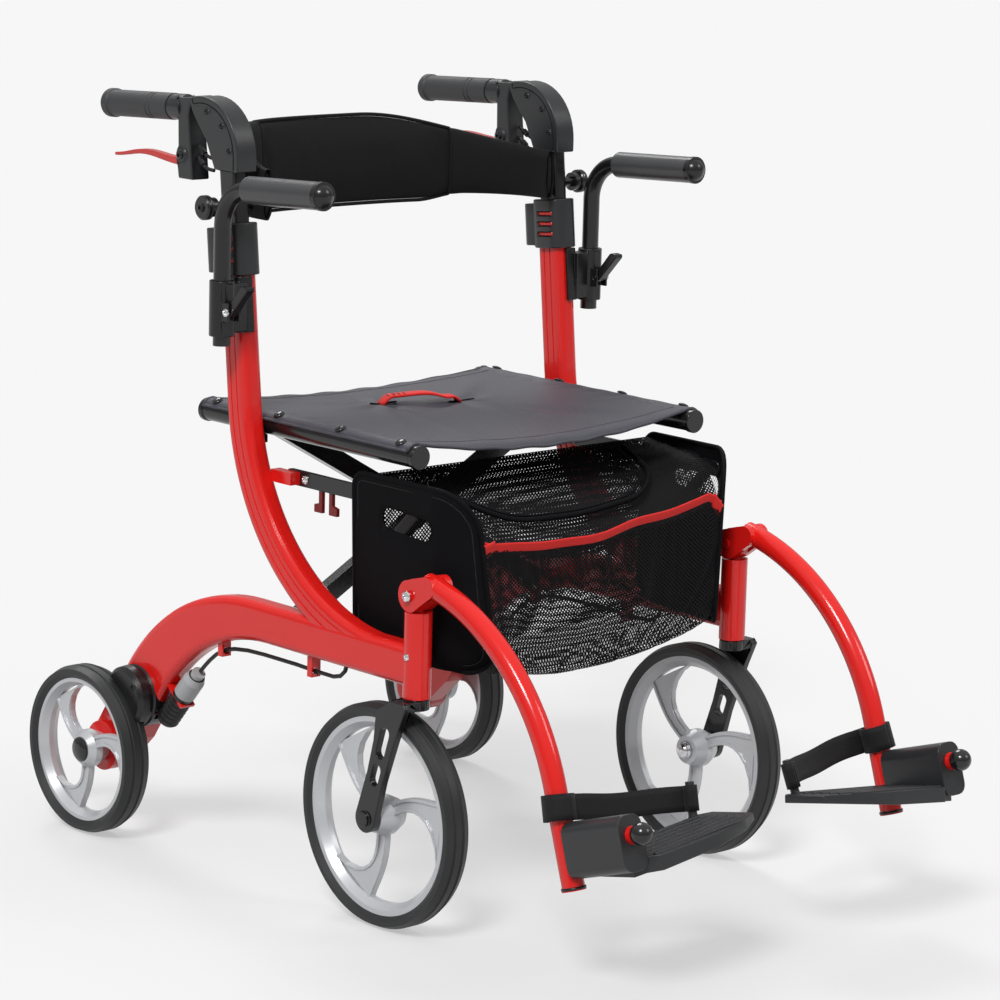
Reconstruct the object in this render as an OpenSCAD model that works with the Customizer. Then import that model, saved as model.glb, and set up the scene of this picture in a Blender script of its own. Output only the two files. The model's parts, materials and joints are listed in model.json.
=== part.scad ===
// Folding rollator that doubles as a transport chair.
// Millimetres, +Z up, front is -Y. The right side (seated user) is -X.
// Every side part is drawn for +X and mirrored for -X.

/* [Model] */
// Piece to build, or all
// Segments of a quarter round on drawn profiles
corner_steps = 4; // [2:1:8]

/* [Frame] */
// Distance from the centre plane to each side frame
frame_x = 244; // [220:1:270]
// Lower tube width
lower_w = 29; // [24:0.5:36]
// Lower tube depth on its straight run
lower_d = 46.5; // [36:0.5:60]
// Height of the lower tube's underside
lower_z = 283.5; // [262:0.5:310]
// Corner radius of the lower tube
lower_r = 9; // [4:0.5:12]
// Upright width
mast_w = 28; // [25:0.5:34]
// Upright depth
mast_d = 38; // [34:0.5:46]
// Corner radius of the upright
mast_r = 9; // [4:0.5:12]
// Wall of the upright
mast_wall = 3.4; // [2:0.1:4.5]
// Backward lean of the upright
lean = 5.7; // [2:0.1:9]
// Bend radius of the upright at its centre line
mast_bend_r = 266; // [240:1:300]
// Fore and aft place of the upright's bend centre
mast_bend_y = -88; // [-110:1:-60]
// Straight length of the upright above its bend
mast_len = 194; // [170:1:220]
// Depth of the grooves along the upright
mast_groove = 1.2; // [0.5:0.1:2]

/* [Head tube and fork] */
// Fore and aft place of the head tube
head_y = -133; // [-150:1:-120]
// Head tube radius
head_r = 15.5; // [14.5:0.1:18]
// Bottom of the head tube
head_z = 271; // [262:1:278]
// Height of the joint between the head tube and the footrest post
head_top_z = 337; // [333:1:345]
// Fork stem radius
stem_r = 8; // [6:0.25:9]
// Running clearance on pins
run = 0.05; // [0.02:0.01:0.09]
// Caster trail behind the head tube
trail = 50.6; // [35:0.1:65]
// Thickness of the fork arm
fork_t = 9; // [6:0.5:12]

/* [Wheels] */
// Front wheel diameter
front_d = 254; // [230:1:262]
// Front tyre width
front_w = 32; // [26:1:36]
// Rear wheel diameter
rear_d = 203; // [180:1:230]
// Rear tyre width
rear_w = 35; // [28:1:40]
// Rear axle, fore and aft
rear_y = 423; // [405:1:440]
// Rear wheel centre plane
rear_x = 282.5; // [281:0.5:290]
// Tyre section height
tyre_h = 15; // [11:0.5:19]
// Axle radius
axle_r = 6; // [5:0.25:7]
// Spoke thickness
spoke_t = 9; // [6:0.5:12]
// Number of spokes
spoke_n = 3; // [3:1:5]

/* [Handles] */
// Handle tube width
handle_w = 20.4; // [16:0.1:20.6]
// Handle tube depth
handle_d = 30.4; // [26:0.1:30.6]
// Sliding clearance on each side of the handle tube
slide_gap = 0.3; // [0.2:0.05:0.5]
// Length of handle tube inside the upright
handle_in = 165; // [120:1:170]
// Housing outer radius
hood_r = 66; // [60:1:72]
// Housing thickness
hood_t = 25; // [24:0.5:30]
// Height of the hood's centre
hood_z = 829; // [822:1:836]
// Grip radius
grip_r = 15.5; // [13:0.5:18]
// Grip length
grip_len = 127; // [110:1:140]
// Backward droop of the grip
grip_droop = 2.5; // [0:0.5:5]
// Brake lever thickness
lever_t = 11; // [8:0.5:14]
// Brake lever length
lever_len = 139; // [115:1:142]
// Height clamp length along the upright
clamp_len = 59; // [50:1:66]
// Wall of the height clamp
clamp_wall = 5; // [4:0.5:7]

/* [Armrests] */
// Armrest tube radius
arm_r = 10; // [8:0.5:11]
// Distance from the centre plane to the armrest
arm_x = 283; // [279:0.5:288]
// Armrest tube in front of the upright's middle line
arm_set = 17; // [14:0.5:19]
// Bottom end of the armrest tube
arm_z = 623; // [612:1:630]
// Height of the armrest bend's centre
arm_bend_z = 757; // [745:1:765]
// Armrest bend radius
arm_bend_r = 46; // [40:1:52]
// Straight armrest length in front of the bend
arm_len = 128; // [115:1:140]
// Foam radius
pad_r = 15.5; // [14:0.5:18]
// Bare tube between the foam and the bend
pad_gap = 4; // [2:0.5:20]

/* [Footrests] */
// Distance from the centre plane to the footrest leg
leg_x = 246; // [242:0.5:250]
// Footrest leg radius
leg_r = 12.5; // [10:0.5:13]
// Height of the footrest hinge
knee_z = 386; // [380:1:392]
// Radius of the footrest hinge boss
knee_r = 18; // [16:0.5:20]
// Bend radius of the footrest leg
leg_bend_r = 270; // [250:1:290]
// Slope of the leg where it leaves its boss
leg_from = 10; // [6:1:14]
// Slope of the leg at its foot
leg_to = 72; // [68:1:76]
// Straight length of the leg's foot
leg_foot = 104; // [90:1:115]
// Footplate hinge pin radius
foot_pin_r = 7; // [5:0.5:9]
// Reach of the footplate from its hinge
plate_reach = 194; // [175:1:200]
// Footplate length along its hinge
plate_len = 96; // [84:1:104]
// Sleeve width of the footplate
sleeve_w = 34; // [28:1:38]
// Ribs on the footplate
plate_ribs = 7; // [4:1:10]
// Radius of the ball on the footplate's pin
ball_r = 12; // [10:0.5:13]

/* [Fold and seat] */
// Distance from the centre plane to the lower brace pivots
pivot_x = 205; // [198:0.5:210]
// Height of the lower brace pivots
pivot_z = 294; // [288:1:300]
// Fore and aft centre of the cross brace
brace_y = 150; // [142:1:156]
// Brace bar thickness
brace_t = 16; // [12:0.5:18]
// Brace bar depth
brace_d = 22; // [18:0.5:26]
// Brace pivot pin radius
pivot_r = 5; // [4:0.25:6]
// Distance from the centre plane to the seat rails
rail_x = 211; // [204:0.5:213]
// Height of the seat rails
rail_z = 527; // [520:1:534]
// Seat rail radius
rail_r = 12.5; // [11:0.25:13]
// Front end of the seat rails
rail_front = -93; // [-105:1:-85]
// Rear end of the seat rails
rail_back = 290; // [270:1:300]
// Seat cloth thickness
cloth_t = 3; // [2:0.25:5]
// Sag of the seat cloth
seat_sag = 22; // [10:1:30]
// Soft goods stand this far off what carries them
soft_gap = 0.3; // [0.2:0.05:0.5]

/* [Back strap and bag] */
// Height of the back strap's pivot
back_z = 776; // [770:1:782]
// Depth of the back strap, from its ends to its middle
back_bow = 119; // [100:1:130]
// Height of the back strap at its middle
back_h = 106; // [95:1:125]
// Height of the back strap at its ends
back_end_h = 52; // [46:1:60]
// Thickness of the back strap at its middle
back_t = 22; // [16:1:28]
// Half width of the bag
bag_x = 213; // [206:0.5:214]
// Depth of the bag, fore and aft
bag_d = 198; // [180:1:210]
// Bag wall
bag_wall = 3; // [2:0.25:5]
// Bag bar height
bar_h = 18; // [14:1:22]
// Bag bar thickness
bar_t = 5; // [3:0.5:5.5]

/* [Hidden] */

$fa = 6;
$fs = 1;
red = [0.86, 0.13, 0.11];
black = [0.07, 0.07, 0.08];
graphite = [0.24, 0.25, 0.26];
silver = [0.72, 0.74, 0.76];
steel = [0.62, 0.63, 0.65];
slate = [0.2, 0.21, 0.25];

// Lower tube
lower_top = lower_z + lower_d;
bend_top_y = 150;
bend_top_r = 288;
bend_bottom_y = 120;
bend_bottom_r = 240;
bend_sweep = 58;
tail_w = lower_w - 3;
boss_r = 30;
rear_z = rear_d / 2;
rear_in = rear_x - rear_w / 2;
boss_x1 = rear_in - 2;
hub_play = 0.3;
rear_hub = rear_w / 2 - 6;
axle_cap_r = 15;
axle_dome = [[axle_cap_r, 0], [0, rear_w / 2 - rear_hub - hub_play]];

// Upright, whose local frame starts at the end of its bend
mast_sink = 0.8;
mast_bend_z = lower_top + mast_bend_r - mast_d / 2 - mast_sink;
mast_y = mast_bend_y + mast_bend_r * cos(lean);
mast_z = mast_bend_z - mast_bend_r * sin(lean);
mast_in = frame_x - mast_w / 2;
clamp_z = mast_len - 45;
function mast_at(h) = [mast_y + h * sin(lean), mast_z + h * cos(lean)];
function mast_h(z) = (z - mast_z) / cos(lean);

// Armrest
cam_z = 663;
arm_y = mast_at(mast_h(cam_z))[0] - arm_set;
cam_y = arm_y - arm_r - 9;
cam_pin_r = 3;
pad_len = arm_len - pad_gap;

// Fork and front wheel
front_r = front_d / 2;
front_y = head_y + trail;
front_z = front_r;
front_hub = front_w / 2 + 2;
fork_x = frame_x + front_w / 2 + 4;
stem_top = head_top_z - 26;
post_in = head_top_z - stem_top - 4;
post_in_r = head_r - 5;

// Handle
hood_y = mast_at(mast_h(hood_z))[0] + 40.5;
hood_low = hood_z - 14;
hood_band = 1.6;
socket_top = mast_h(hood_low + 15);
grip_y = hood_y + 47;
grip_z = hood_z + hood_r - grip_r;
collar_len = 20;
lever_y = grip_y - 9;
lever_z = hood_z - 3;
lever_drop = 9;
lever_pin_r = 3;
back_y = mast_at(mast_h(back_z))[0];
knob_x = frame_x + 40;
back_pin_r = 6;
back_arm_x0 = frame_x - 26;
back_arm_x1 = frame_x - 17;
strap_x = frame_x - 38;
strap_y = back_y - 14;

// Footrest
leg_y = head_y - knee_r;
leg_z = knee_z + 15;
leg_end_y = leg_y - leg_bend_r * (sin(leg_to) - sin(leg_from));
leg_end_z = leg_z - leg_bend_r * (cos(leg_from) - cos(leg_to));
leg_end_t = leg_foot;
pitch = 90 - leg_to;
foot_drop = 58;
foot_y = leg_end_y - foot_drop * cos(leg_to);
foot_z = leg_end_z - foot_drop * sin(leg_to);
sleeve_s0 = leg_r + 1.5;
sleeve_len = plate_len - 6;
tongue_t = 12;
ball_s = sleeve_s0 + sleeve_len + 15;

// Fore and aft middle of the footprint, from the foot balls to the rear tyres
front_end = foot_y - ball_s * cos(pitch) - ball_r;
rear_end = rear_y + rear_d / 2;
origin_y = -(front_end + rear_end) / 2;

// Fold
rest_angle = atan2(rail_z - pivot_z, pivot_x + rail_x);
arm_low = pivot_x / cos(rest_angle);
arm_up = rail_x / cos(rest_angle);
cross_z = pivot_z + arm_low * sin(rest_angle);
brace_a_y = brace_y - brace_t / 2 - 1;
brace_b_y = brace_y + brace_t / 2 + 1;
ear_t = 5;
ear_r = brace_d / 2;

// Bag
bag_front = -196;
bag_top = 492;
bag_low = 276;
bar_x = frame_x - 24;
bar_z = 475;
bar_front = -128;
bar_back = 128;
hem_t = 2.5;

function arc(c, r, a0, a1, n) = [for (i = [0:n]) let (a = a0 + (a1 - a0) * i / n) c + r * [cos(a), sin(a)]];
function rounded(w, d, r) = concat(
    arc([w / 2 - r, d / 2 - r], r, 0, 90, corner_steps), arc([r - w / 2, d / 2 - r], r, 90, 180, corner_steps),
    arc([r - w / 2, r - d / 2], r, 180, 270, corner_steps), arc([w / 2 - r, r - d / 2], r, 270, 360, corner_steps));
function smooth(t) = t * t * (3 - 2 * t);

// Moves the drawing so that the origin is below the middle of the footprint.
module centred() translate([0, origin_y, 0]) children();

// Draws the +X part, or its mirror image for the right side.
module on_side(s) centred() {
    if (s < 0) mirror([1, 0, 0]) children();
    else children();
}

// Extrudes an outline drawn in (y, z) from x0 over a thickness.
module yz(x0, t) translate([x0, 0, 0]) rotate([90, 0, 90]) linear_extrude(t) children();

// Turns a profile drawn in (radius, x) about an axis along X through (y, z).
module turn_x(x, y, z, a0, sweep)
    translate([x, y, z]) rotate([90, 0, 90]) rotate([0, 0, a0]) rotate_extrude(angle = sweep) children();

// Extrudes an outline drawn in (x, z) along Y.
module along_y(y0, y1) translate([0, y1, 0]) rotate([90, 0, 0]) linear_extrude(y1 - y0) children();

// A rod along X, Y or Z.
module rod_x(x0, x1, y, z, r) translate([x0, y, z]) rotate([0, 90, 0]) cylinder(r = r, h = x1 - x0);
module rod_y(y0, y1, x, z, r) translate([x, y1, z]) rotate([90, 0, 0]) cylinder(r = r, h = y1 - y0);
module rod_z(z0, z1, x, y, r) translate([x, y, z0]) cylinder(r = r, h = z1 - z0);

// The upright's own frame: z runs up along it, y points to its back.
module on_mast() translate([frame_x, mast_y, mast_z]) rotate([-lean, 0, 0]) children();

// Upright section with two grooves on each broad face and one on the back.
module mast_section() difference() {
    polygon(rounded(mast_w, mast_d, mast_r));
    for (s = [-1, 1], g = [-1, 1]) translate([s * mast_w / 2, g * 5]) circle(r = mast_groove, $fn = 8);
    translate([0, mast_d / 2]) circle(r = mast_groove, $fn = 8);
}

module lower_section() polygon(rounded(lower_w, lower_d, lower_r));

// Section of the bend: rounded above, and deep enough to be cut to the lower arc.
module deep_section(depth) polygon(concat(
    arc([lower_w / 2 - lower_r, -lower_r], lower_r, 0, 90, corner_steps),
    arc([lower_r - lower_w / 2, -lower_r], lower_r, 90, 180, corner_steps),
    [[-lower_w / 2, -depth], [lower_w / 2, -depth]]));

// What lies inside the bend's lower arc, with the tube's own rounded corners left standing.
module bend_cutter() turn_x(frame_x, bend_bottom_y, lower_z - bend_bottom_r, 0, 90)
    polygon(concat([[60, -lower_w], [60, lower_w], [bend_bottom_r + lower_r, lower_w],
        [bend_bottom_r + lower_r, lower_w / 2]],
        arc([bend_bottom_r + lower_r, lower_w / 2 - lower_r], lower_r, 90, 180, corner_steps),
        arc([bend_bottom_r + lower_r, lower_r - lower_w / 2], lower_r, 180, 270, corner_steps),
        [[bend_bottom_r + lower_r, -lower_w]]));

module lower_bend() {
    depth = 82;
    difference() {
        union() {
            translate([frame_x, 0, lower_top]) along_y(bend_bottom_y, bend_top_y) deep_section(depth);
            turn_x(frame_x, bend_top_y, lower_top - bend_top_r, 90 - bend_sweep, bend_sweep)
                rotate(-90) translate([0, bend_top_r]) deep_section(depth);
            translate([frame_x, 0, lower_z + lower_d / 2]) along_y(bend_top_y - 8, bend_top_y + 8)
                polygon(rounded(lower_w - 4, lower_d - 4, lower_r));
        }
        bend_cutter();
    }
}

// Tail from the bend to the rear axle boss.
module tail() {
    a = 90 - bend_sweep;
    top = [bend_top_y + bend_top_r * cos(a), lower_top - bend_top_r + bend_top_r * sin(a)];
    low = top - 71 * [cos(a), sin(a)];
    boss = [rear_y, rear_z];
    yz(frame_x - tail_w / 2, tail_w) polygon(concat(
        [low - [6, -10], top - [9, -4], top - [1, 2]], arc(boss, boss_r - 1, 45, -120, 8), [low + [26, -36]]));
    rod_x(frame_x - tail_w / 2 - 2, boss_x1, rear_y, rear_z, boss_r);
}

// Two ears and a pin that carry a brace's lower end.
module brace_ears(y) {
    for (s = [-1, 1]) translate([0, y + s * (brace_t / 2 + 0.4 + ear_t / 2), 0]) {
        rod_y(-ear_t / 2, ear_t / 2, pivot_x, pivot_z, ear_r);
        translate([pivot_x, -ear_t / 2, pivot_z - ear_r]) cube([mast_in + 4 - pivot_x, ear_t, 2 * ear_r - 2]);
    }
    rod_y(y - brace_t / 2 - ear_t, y + brace_t / 2 + ear_t, pivot_x, pivot_z, pivot_r);
}

// Under-tube guide for the brake cable.
module cable_guide(y, z) difference() {
    translate([frame_x - 6.5, y - 4, z - 6.5]) cube([13, 8, lower_z - z + 13.5]);
    rod_y(y - 9, y + 9, frame_x, z, cable_r + 2.2);
}

module side_frame(s) {
    pivot_y = s < 0 ? brace_a_y : brace_b_y;
    color(red) on_side(s) difference() {
        union() {
            translate([frame_x, 0, lower_z + lower_d / 2]) along_y(head_y + 3, bend_bottom_y) lower_section();
            lower_bend();
            tail();
            turn_x(frame_x, mast_bend_y, mast_bend_z, -88, 88 - lean)
                translate([mast_bend_r, 0]) rotate(-90) mast_section();
            on_mast() linear_extrude(mast_len) mast_section();
            on_mast() translate([0, 0, -8]) linear_extrude(16) polygon(rounded(mast_w - 4, mast_d - 4, mast_r));
            rod_z(head_z, head_top_z, frame_x, head_y, head_r);
            brace_ears(pivot_y);
            bar_lug();
            cable_guide(cable_clip_y[0], cable_clip_z[0]);
            cable_guide(cable_clip_y[1], cable_clip_z[1]);
            boot_bracket();
        }
        on_mast() translate([0, 0, mast_len - handle_in - 8]) linear_extrude(handle_in + 20)
            polygon(rounded(handle_w + 2 * slide_gap, handle_d + 2 * slide_gap, 6));
        rod_z(head_z - 1, stem_top + 1, frame_x, head_y, stem_r + run);
        rod_z(head_top_z - post_in, head_top_z + 1, frame_x, head_y, post_in_r);
        rod_x(frame_x - lower_w, boss_x1 + 1, rear_y, rear_z, axle_r);
    }
}

// Lug on the upright's inner face that the bag bar is bolted to.
module bar_lug() translate([bar_x + bar_t / 2, bar_back - 26, bar_z - bar_h / 2 + 2])
    cube([mast_in + 6 - bar_x - bar_t / 2, 36, bar_h - 4]);

// Flat bar that the bag hangs from, its bolt, and two hooks that face apart.
module bag_bar(s) color(black) on_side(s) {
    r = bar_h / 2;
    yz(bar_x - bar_t / 2, bar_t) polygon(concat(
        arc([bar_back - r, bar_z], r, -90, 90, 8), arc([bar_front + r, bar_z], r, 90, 270, 8)));
    rod_x(bar_x - bar_t / 2 - 4, bar_x - bar_t / 2, bar_back - r, bar_z, 6);
    for (h = [-1, 1]) yz(bar_x - bar_t / 2, bar_t) polygon([
        [56 + h * 6, bar_z - r + 4], [56 + h * 12, bar_z - r + 4], [56 + h * 12, bar_z - r - 14],
        [56 + h * 20, bar_z - r - 16], [56 + h * 20, bar_z - r - 25], [56 + h * 6, bar_z - r - 25]]);
}

module rail_saddle(s) color(black) on_side(s) difference() {
    y0 = brace_b_y + brace_t / 2 + 3;
    translate([rail_x + 4, y0, rail_z - rail_r - 9]) cube([mast_in - rail_x - 4, 18, 16]);
    rod_y(y0 - 10, y0 + 30, rail_x, rail_z, rail_r + soft_gap);
    on_mast_bend_clear();
}

// The upright's outer surface, used to fit pieces against it.
module on_mast_bend_clear() {
    turn_x(frame_x, mast_bend_y, mast_bend_z, -88, 88 - lean)
        translate([mast_bend_r, 0]) rotate(-90) polygon(rounded(mast_w, mast_d, mast_r));
    on_mast() linear_extrude(mast_len) polygon(rounded(mast_w, mast_d, mast_r));
}

// Clamp round the top of the upright, with its screw boss behind and three slots on each side.
module height_clamp(s) color(graphite) on_side(s) on_mast() translate([0, 0, clamp_z]) difference() {
    w = mast_w + 2 * clamp_wall;
    d = mast_d + 2 * clamp_wall;
    slot_w = w * 0.75;
    slot_step = clamp_len * 0.21;
    union() {
        linear_extrude(clamp_len) polygon(rounded(w, d, mast_r + clamp_wall));
        translate([0, d / 2, clamp_len * 0.05]) linear_extrude(clamp_len * 0.86) polygon(rounded(w - 5, 32, 10));
    }
    translate([0, 0, -1]) linear_extrude(mast_len - clamp_z + 1) polygon(rounded(mast_w, mast_d, mast_r));
    linear_extrude(clamp_len + 1)
        polygon(rounded(handle_w + 2 * slide_gap, handle_d + 2 * slide_gap, 6));
    for (k = [0:2], g = [-1, 1]) translate([g * w / 2, -4, clamp_len * 0.29 + slot_step * k])
        cube([3, slot_w, 5], center = true);
    translate([0, d / 2 + 18, clamp_len * 0.47]) rotate([90, 0, 0]) cylinder(r = 3, h = 6);
}

// Channel on the outside of the upright with the socket that the armrest slides in.
module armrest_bracket(s) color(black) on_side(s) difference() {
    z0 = 634;
    z1 = 697;
    union() {
        intersection() {
            on_mast() translate([0, 0, mast_h(z0)]) linear_extrude((z1 - z0) / cos(lean))
                polygon(rounded(mast_w + 8, mast_d + 8, mast_r + 2));
            translate([frame_x - 2, 100, z0 - 20]) cube([60, 160, z1 - z0 + 40]);
        }
        rod_z(z0, z1, arm_x, arm_y, arm_r + 4.5);
        translate([frame_x + 10, arm_y - 9, z0 + 4]) cube([arm_x - frame_x - 10, 20, z1 - z0 - 8]);
        translate([arm_x - 9, arm_y - arm_r - 13, z0 + 18]) cube([18, 12, 22]);
    }
    on_mast_bend_clear();
    rod_z(z0 - 1, z1 + 1, arm_x, arm_y, arm_r + slide_gap);
    translate([arm_x - 6.4, arm_y - arm_r - 40, z0]) cube([12.8, 36.4, 60]);
    rod_x(arm_x - 20, arm_x + 20, cam_y, cam_z, cam_pin_r);
}

// Quick-release lever of the armrest socket, with its pin.
module cam_lever(s) color(black) on_side(s) {
    c = [cam_y, cam_z];
    up = 135;
    yz(arm_x - 6, 12) polygon(concat(arc(c, 5, up + 90, up + 270, 10),
        arc(c + 36 * [cos(up), sin(up)], 7, up - 90, up - 20, 6), arc(c + 41 * [cos(up), sin(up)], 4, up, up + 90, 6)));
    rod_x(arm_x - 9, arm_x + 9, cam_y, cam_z, cam_pin_r - run);
}

// Armrest tube with one bend and a domed plug.
module armrest_tube(s) color(black) on_side(s) {
    tilt = 2.5;
    rod_z(arm_z, arm_bend_z, arm_x, arm_y, arm_r);
    turn_x(arm_x, arm_y - arm_bend_r, arm_bend_z, 0, 90 - tilt) translate([arm_bend_r, 0]) circle(r = arm_r);
    arm_front() {
        translate([0, 0, -4]) cylinder(r = arm_r - 1, h = 8);
        cylinder(r = arm_r, h = arm_len);
        translate([0, 0, arm_len]) cylinder(r = pad_r + 0.5, h = 6);
        translate([0, 0, arm_len + 6]) intersection() {
            translate([0, 0, -6]) sphere(r = pad_r - 1);
            cylinder(r = pad_r, h = pad_r);
        }
    }
}

// Frame of the armrest's straight run: z points forward along it.
module arm_front() {
    tilt = 2.5;
    translate([arm_x, arm_y - arm_bend_r + arm_bend_r * sin(tilt), arm_bend_z + arm_bend_r * cos(tilt)])
        rotate([90 - tilt, 0, 0]) children();
}

module armrest_pad(s) color(graphite) on_side(s) arm_front() difference() {
    translate([0, 0, arm_len - pad_len]) cylinder(r = pad_r, h = pad_len);
    cylinder(r = arm_r, h = arm_len);
}

// Sliding tube with the pin and knob that carry the back strap.
module handle_tube(s) color(black) on_side(s) {
    on_mast() translate([0, 0, mast_len - handle_in]) linear_extrude(socket_top - mast_len + handle_in)
        polygon(rounded(handle_w, handle_d, 5.5));
    rod_x(back_arm_x0 - 2, frame_x, back_y, back_z, back_pin_r);
    rod_x(back_arm_x0 - 4, back_arm_x0 - 0.3, back_y, back_z, 9);
    rod_x(frame_x, knob_x - 6, back_y, back_z, 6);
    rod_x(knob_x - 10, knob_x - 2, back_y, back_z, 11);
    translate([knob_x - 2, back_y, back_z]) rotate([0, 90, 0]) rotate_extrude()
        polygon([[0, 0], [12.5, 0], [14, 1.5], [14, 3.4], [13.4, 4], [14, 4.6], [14, 8], [12, 10], [0, 10]]);
}

// Fan-shaped housing that turns the tube back to the grip, with the brake block behind it.
module handle_hood(s) color(graphite) on_side(s) difference() {
    c = [hood_y, hood_z];
    low = hood_low - hood_z;
    x0 = frame_x - hood_t / 2;
    block = [[24, hood_r - 10], [27, hood_r - 22], [18, -30], [45, -30], [47, hood_r - 4]];
    union() {
        yz(x0, hood_t) polygon(concat(arc(c, hood_r, 76, 180, 16), [c + [-hood_r, low], c + [-22, low],
            c + [-6, 18], c + [10, 36], c + [19, hood_r - 19]], [for (p = block) c + p]));
        yz(x0 - hood_band, hood_t + 2 * hood_band) polygon(concat(arc(c, hood_r + 1, 74, 180, 16),
            [c + [-hood_r - 1, low], c + [7 - hood_r, low]], arc(c, hood_r - 7, 180, 74, 16)));
        rod_x(x0 - 2.5, x0 + hood_t + 2.5, lever_y, lever_z, 9);
        for (a = [100, 135, 170]) rod_x(x0 - 1, x0 + hood_t + 1, c[0] + (hood_r - 15) * cos(a), c[1] + (hood_r - 15) * sin(a), 3);
        grip_frame() cylinder(r = 8, h = collar_len + 40);
        grip_frame() translate([0, 0, -4]) cylinder(r = grip_r - 0.4, h = collar_len + 4);
    }
    on_mast() translate([0, 0, mast_len]) linear_extrude(socket_top - mast_len) polygon(rounded(handle_w, handle_d, 5.5));
    translate([frame_x - lever_t / 2 - 0.4, lever_y - 8.3, lever_z - 17]) cube([lever_t + 0.8, 40, 29]);
    rod_x(x0 - 4, x0 + hood_t + 4, lever_y, lever_z, lever_pin_r);
}

// Frame of the grip: z points backward along it.
module grip_frame() translate([frame_x, grip_y, grip_z]) rotate([-90 - grip_droop, 0, 0]) children();

module grip(s) color(graphite) on_side(s) grip_frame() translate([0, 0, collar_len]) {
    groove = grip_len * 0.24;
    rotate_extrude() polygon(concat([[8, 0.8], [grip_r, 0.8]],
        [for (g = [groove, groove + 7]) each [[grip_r, g], [grip_r - 1, g + 0.8], [grip_r - 1, g + 2.2], [grip_r, g + 3]]],
        [[grip_r, grip_len - 14], [grip_r + 1.4, grip_len - 12], [grip_r + 1.4, grip_len - 4], [grip_r - 0.6, grip_len - 1],
        [grip_r - 4, grip_len], [0, grip_len], [0, 40], [8, 40]]));
}

// Hand brake lever, drawn as a shallow wave, with its pin.
module brake_lever(s) {
    n = 14;
    function mid(t) = [lever_y + lever_len * t, lever_z - lever_drop + 6 * pow(sin(180 * pow(t, 1.3)), 2) - 2 * t * t];
    function half(t) = 4.6 - 2.8 * t;
    color(red) on_side(s) {
        yz(frame_x - lever_t / 2, lever_t) polygon(concat(
            arc([lever_y, lever_z], 7.5, 40, 250, 10),
            [for (i = [1:n]) mid(i / n) - [0, half(i / n)]], [for (i = [n:-1:1]) mid(i / n) + [0, half(i / n)]]));
        rod_x(frame_x - hood_t / 2, frame_x + hood_t / 2, lever_y, lever_z, lever_pin_r - run);
    }
}

// Centre line of the back strap seen from above: straight beside the arms, round behind.
strap_power = 2.8;
function strap_line(a) = [strap_x * sign(cos(a)) * pow(abs(cos(a)), 2 / strap_power),
    strap_y + back_bow * pow(sin(a), 2 / strap_power)];
function strap_half(a) = 6.2 + (back_t / 2 - 6.2) * sin(a);

// Moulded end of the back strap, turning on the handle's pin. A pad on it bears on the strap.
module back_arm(s) color(black) on_side(s) difference() {
    hold = strap_line(14) + [strap_half(14) + 1.2, 0];
    union() {
        rod_x(back_arm_x0, back_arm_x1, back_y, back_z, 14);
        translate([0, 0, back_z - 14]) linear_extrude(28) polygon([[back_arm_x0, back_y - 4], [back_arm_x1, back_y - 4],
            [back_arm_x1, hold[1] + 8], [back_arm_x1 - 4, hold[1] + 14], [hold[0], hold[1] + 14], [hold[0], hold[1] - 4],
            [back_arm_x0, hold[1] - 12]]);
    }
    rod_x(back_arm_x0 - 1, back_arm_x1 + 1, back_y, back_z, back_pin_r + run);
}

// Padded strap: a lens-shaped section carried along its centre line.
module back_strap() {
    n = 32;
    ring = 10;
    function rise(a) = pow(sin(a), 0.45);
    function height(a) = back_end_h + (back_h - back_end_h) * rise(a);
    function normal(a) = let (v = strap_line(min(a + 0.5, 179.9)) - strap_line(max(a - 0.5, 0.1))) [v[1], -v[0]] / norm(v);
    function point(a, k) = let (c = cos(360 * k / ring), d = sin(360 * k / ring), p = strap_line(a),
        h = height(a) / 2, q = p + strap_half(a) * sign(c) * pow(abs(c), 0.7) * normal(a))
        [q[0], q[1], back_z - 15 - 5 * rise(a) + h + h * sign(d) * pow(abs(d), 0.7)];
    angles = [for (i = [0:n]) 4 + 172 * i / n];
    points = [for (a = angles, k = [0:ring - 1]) point(a, k)];
    sides = [for (i = [0:n - 1], k = [0:ring - 1]) let (a = i * ring + k, b = i * ring + (k + 1) % ring)
        each [[a, b + ring, b], [a, a + ring, b + ring]]];
    caps = [[for (k = [0:ring - 1]) k], [for (k = [ring - 1:-1:0]) n * ring + k]];
    color(black) centred() polyhedron(points, concat(sides, caps));
}

// Tyre with a crowned tread and two grooves round it.
module tyre(d, w) {
    r = d / 2;
    rotate([0, 90, 0]) rotate_extrude() polygon(concat(
        [[r - tyre_h, -w * 0.36]],
        [[r - tyre_h * 0.62, -w / 2], [r - tyre_h * 0.25, -w / 2], [r - 1.5, -w * 0.34]],
        [for (g = [-1, 1]) each [[r, g * w * 0.18 - 2], [r - 1.6, g * w * 0.18 - 0.8], [r - 1.6, g * w * 0.18 + 0.8],
            [r, g * w * 0.18 + 2]]],
        [[r - 1.5, w * 0.34], [r - tyre_h * 0.25, w / 2], [r - tyre_h * 0.62, w / 2], [r - tyre_h, w * 0.36]]));
}

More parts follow.
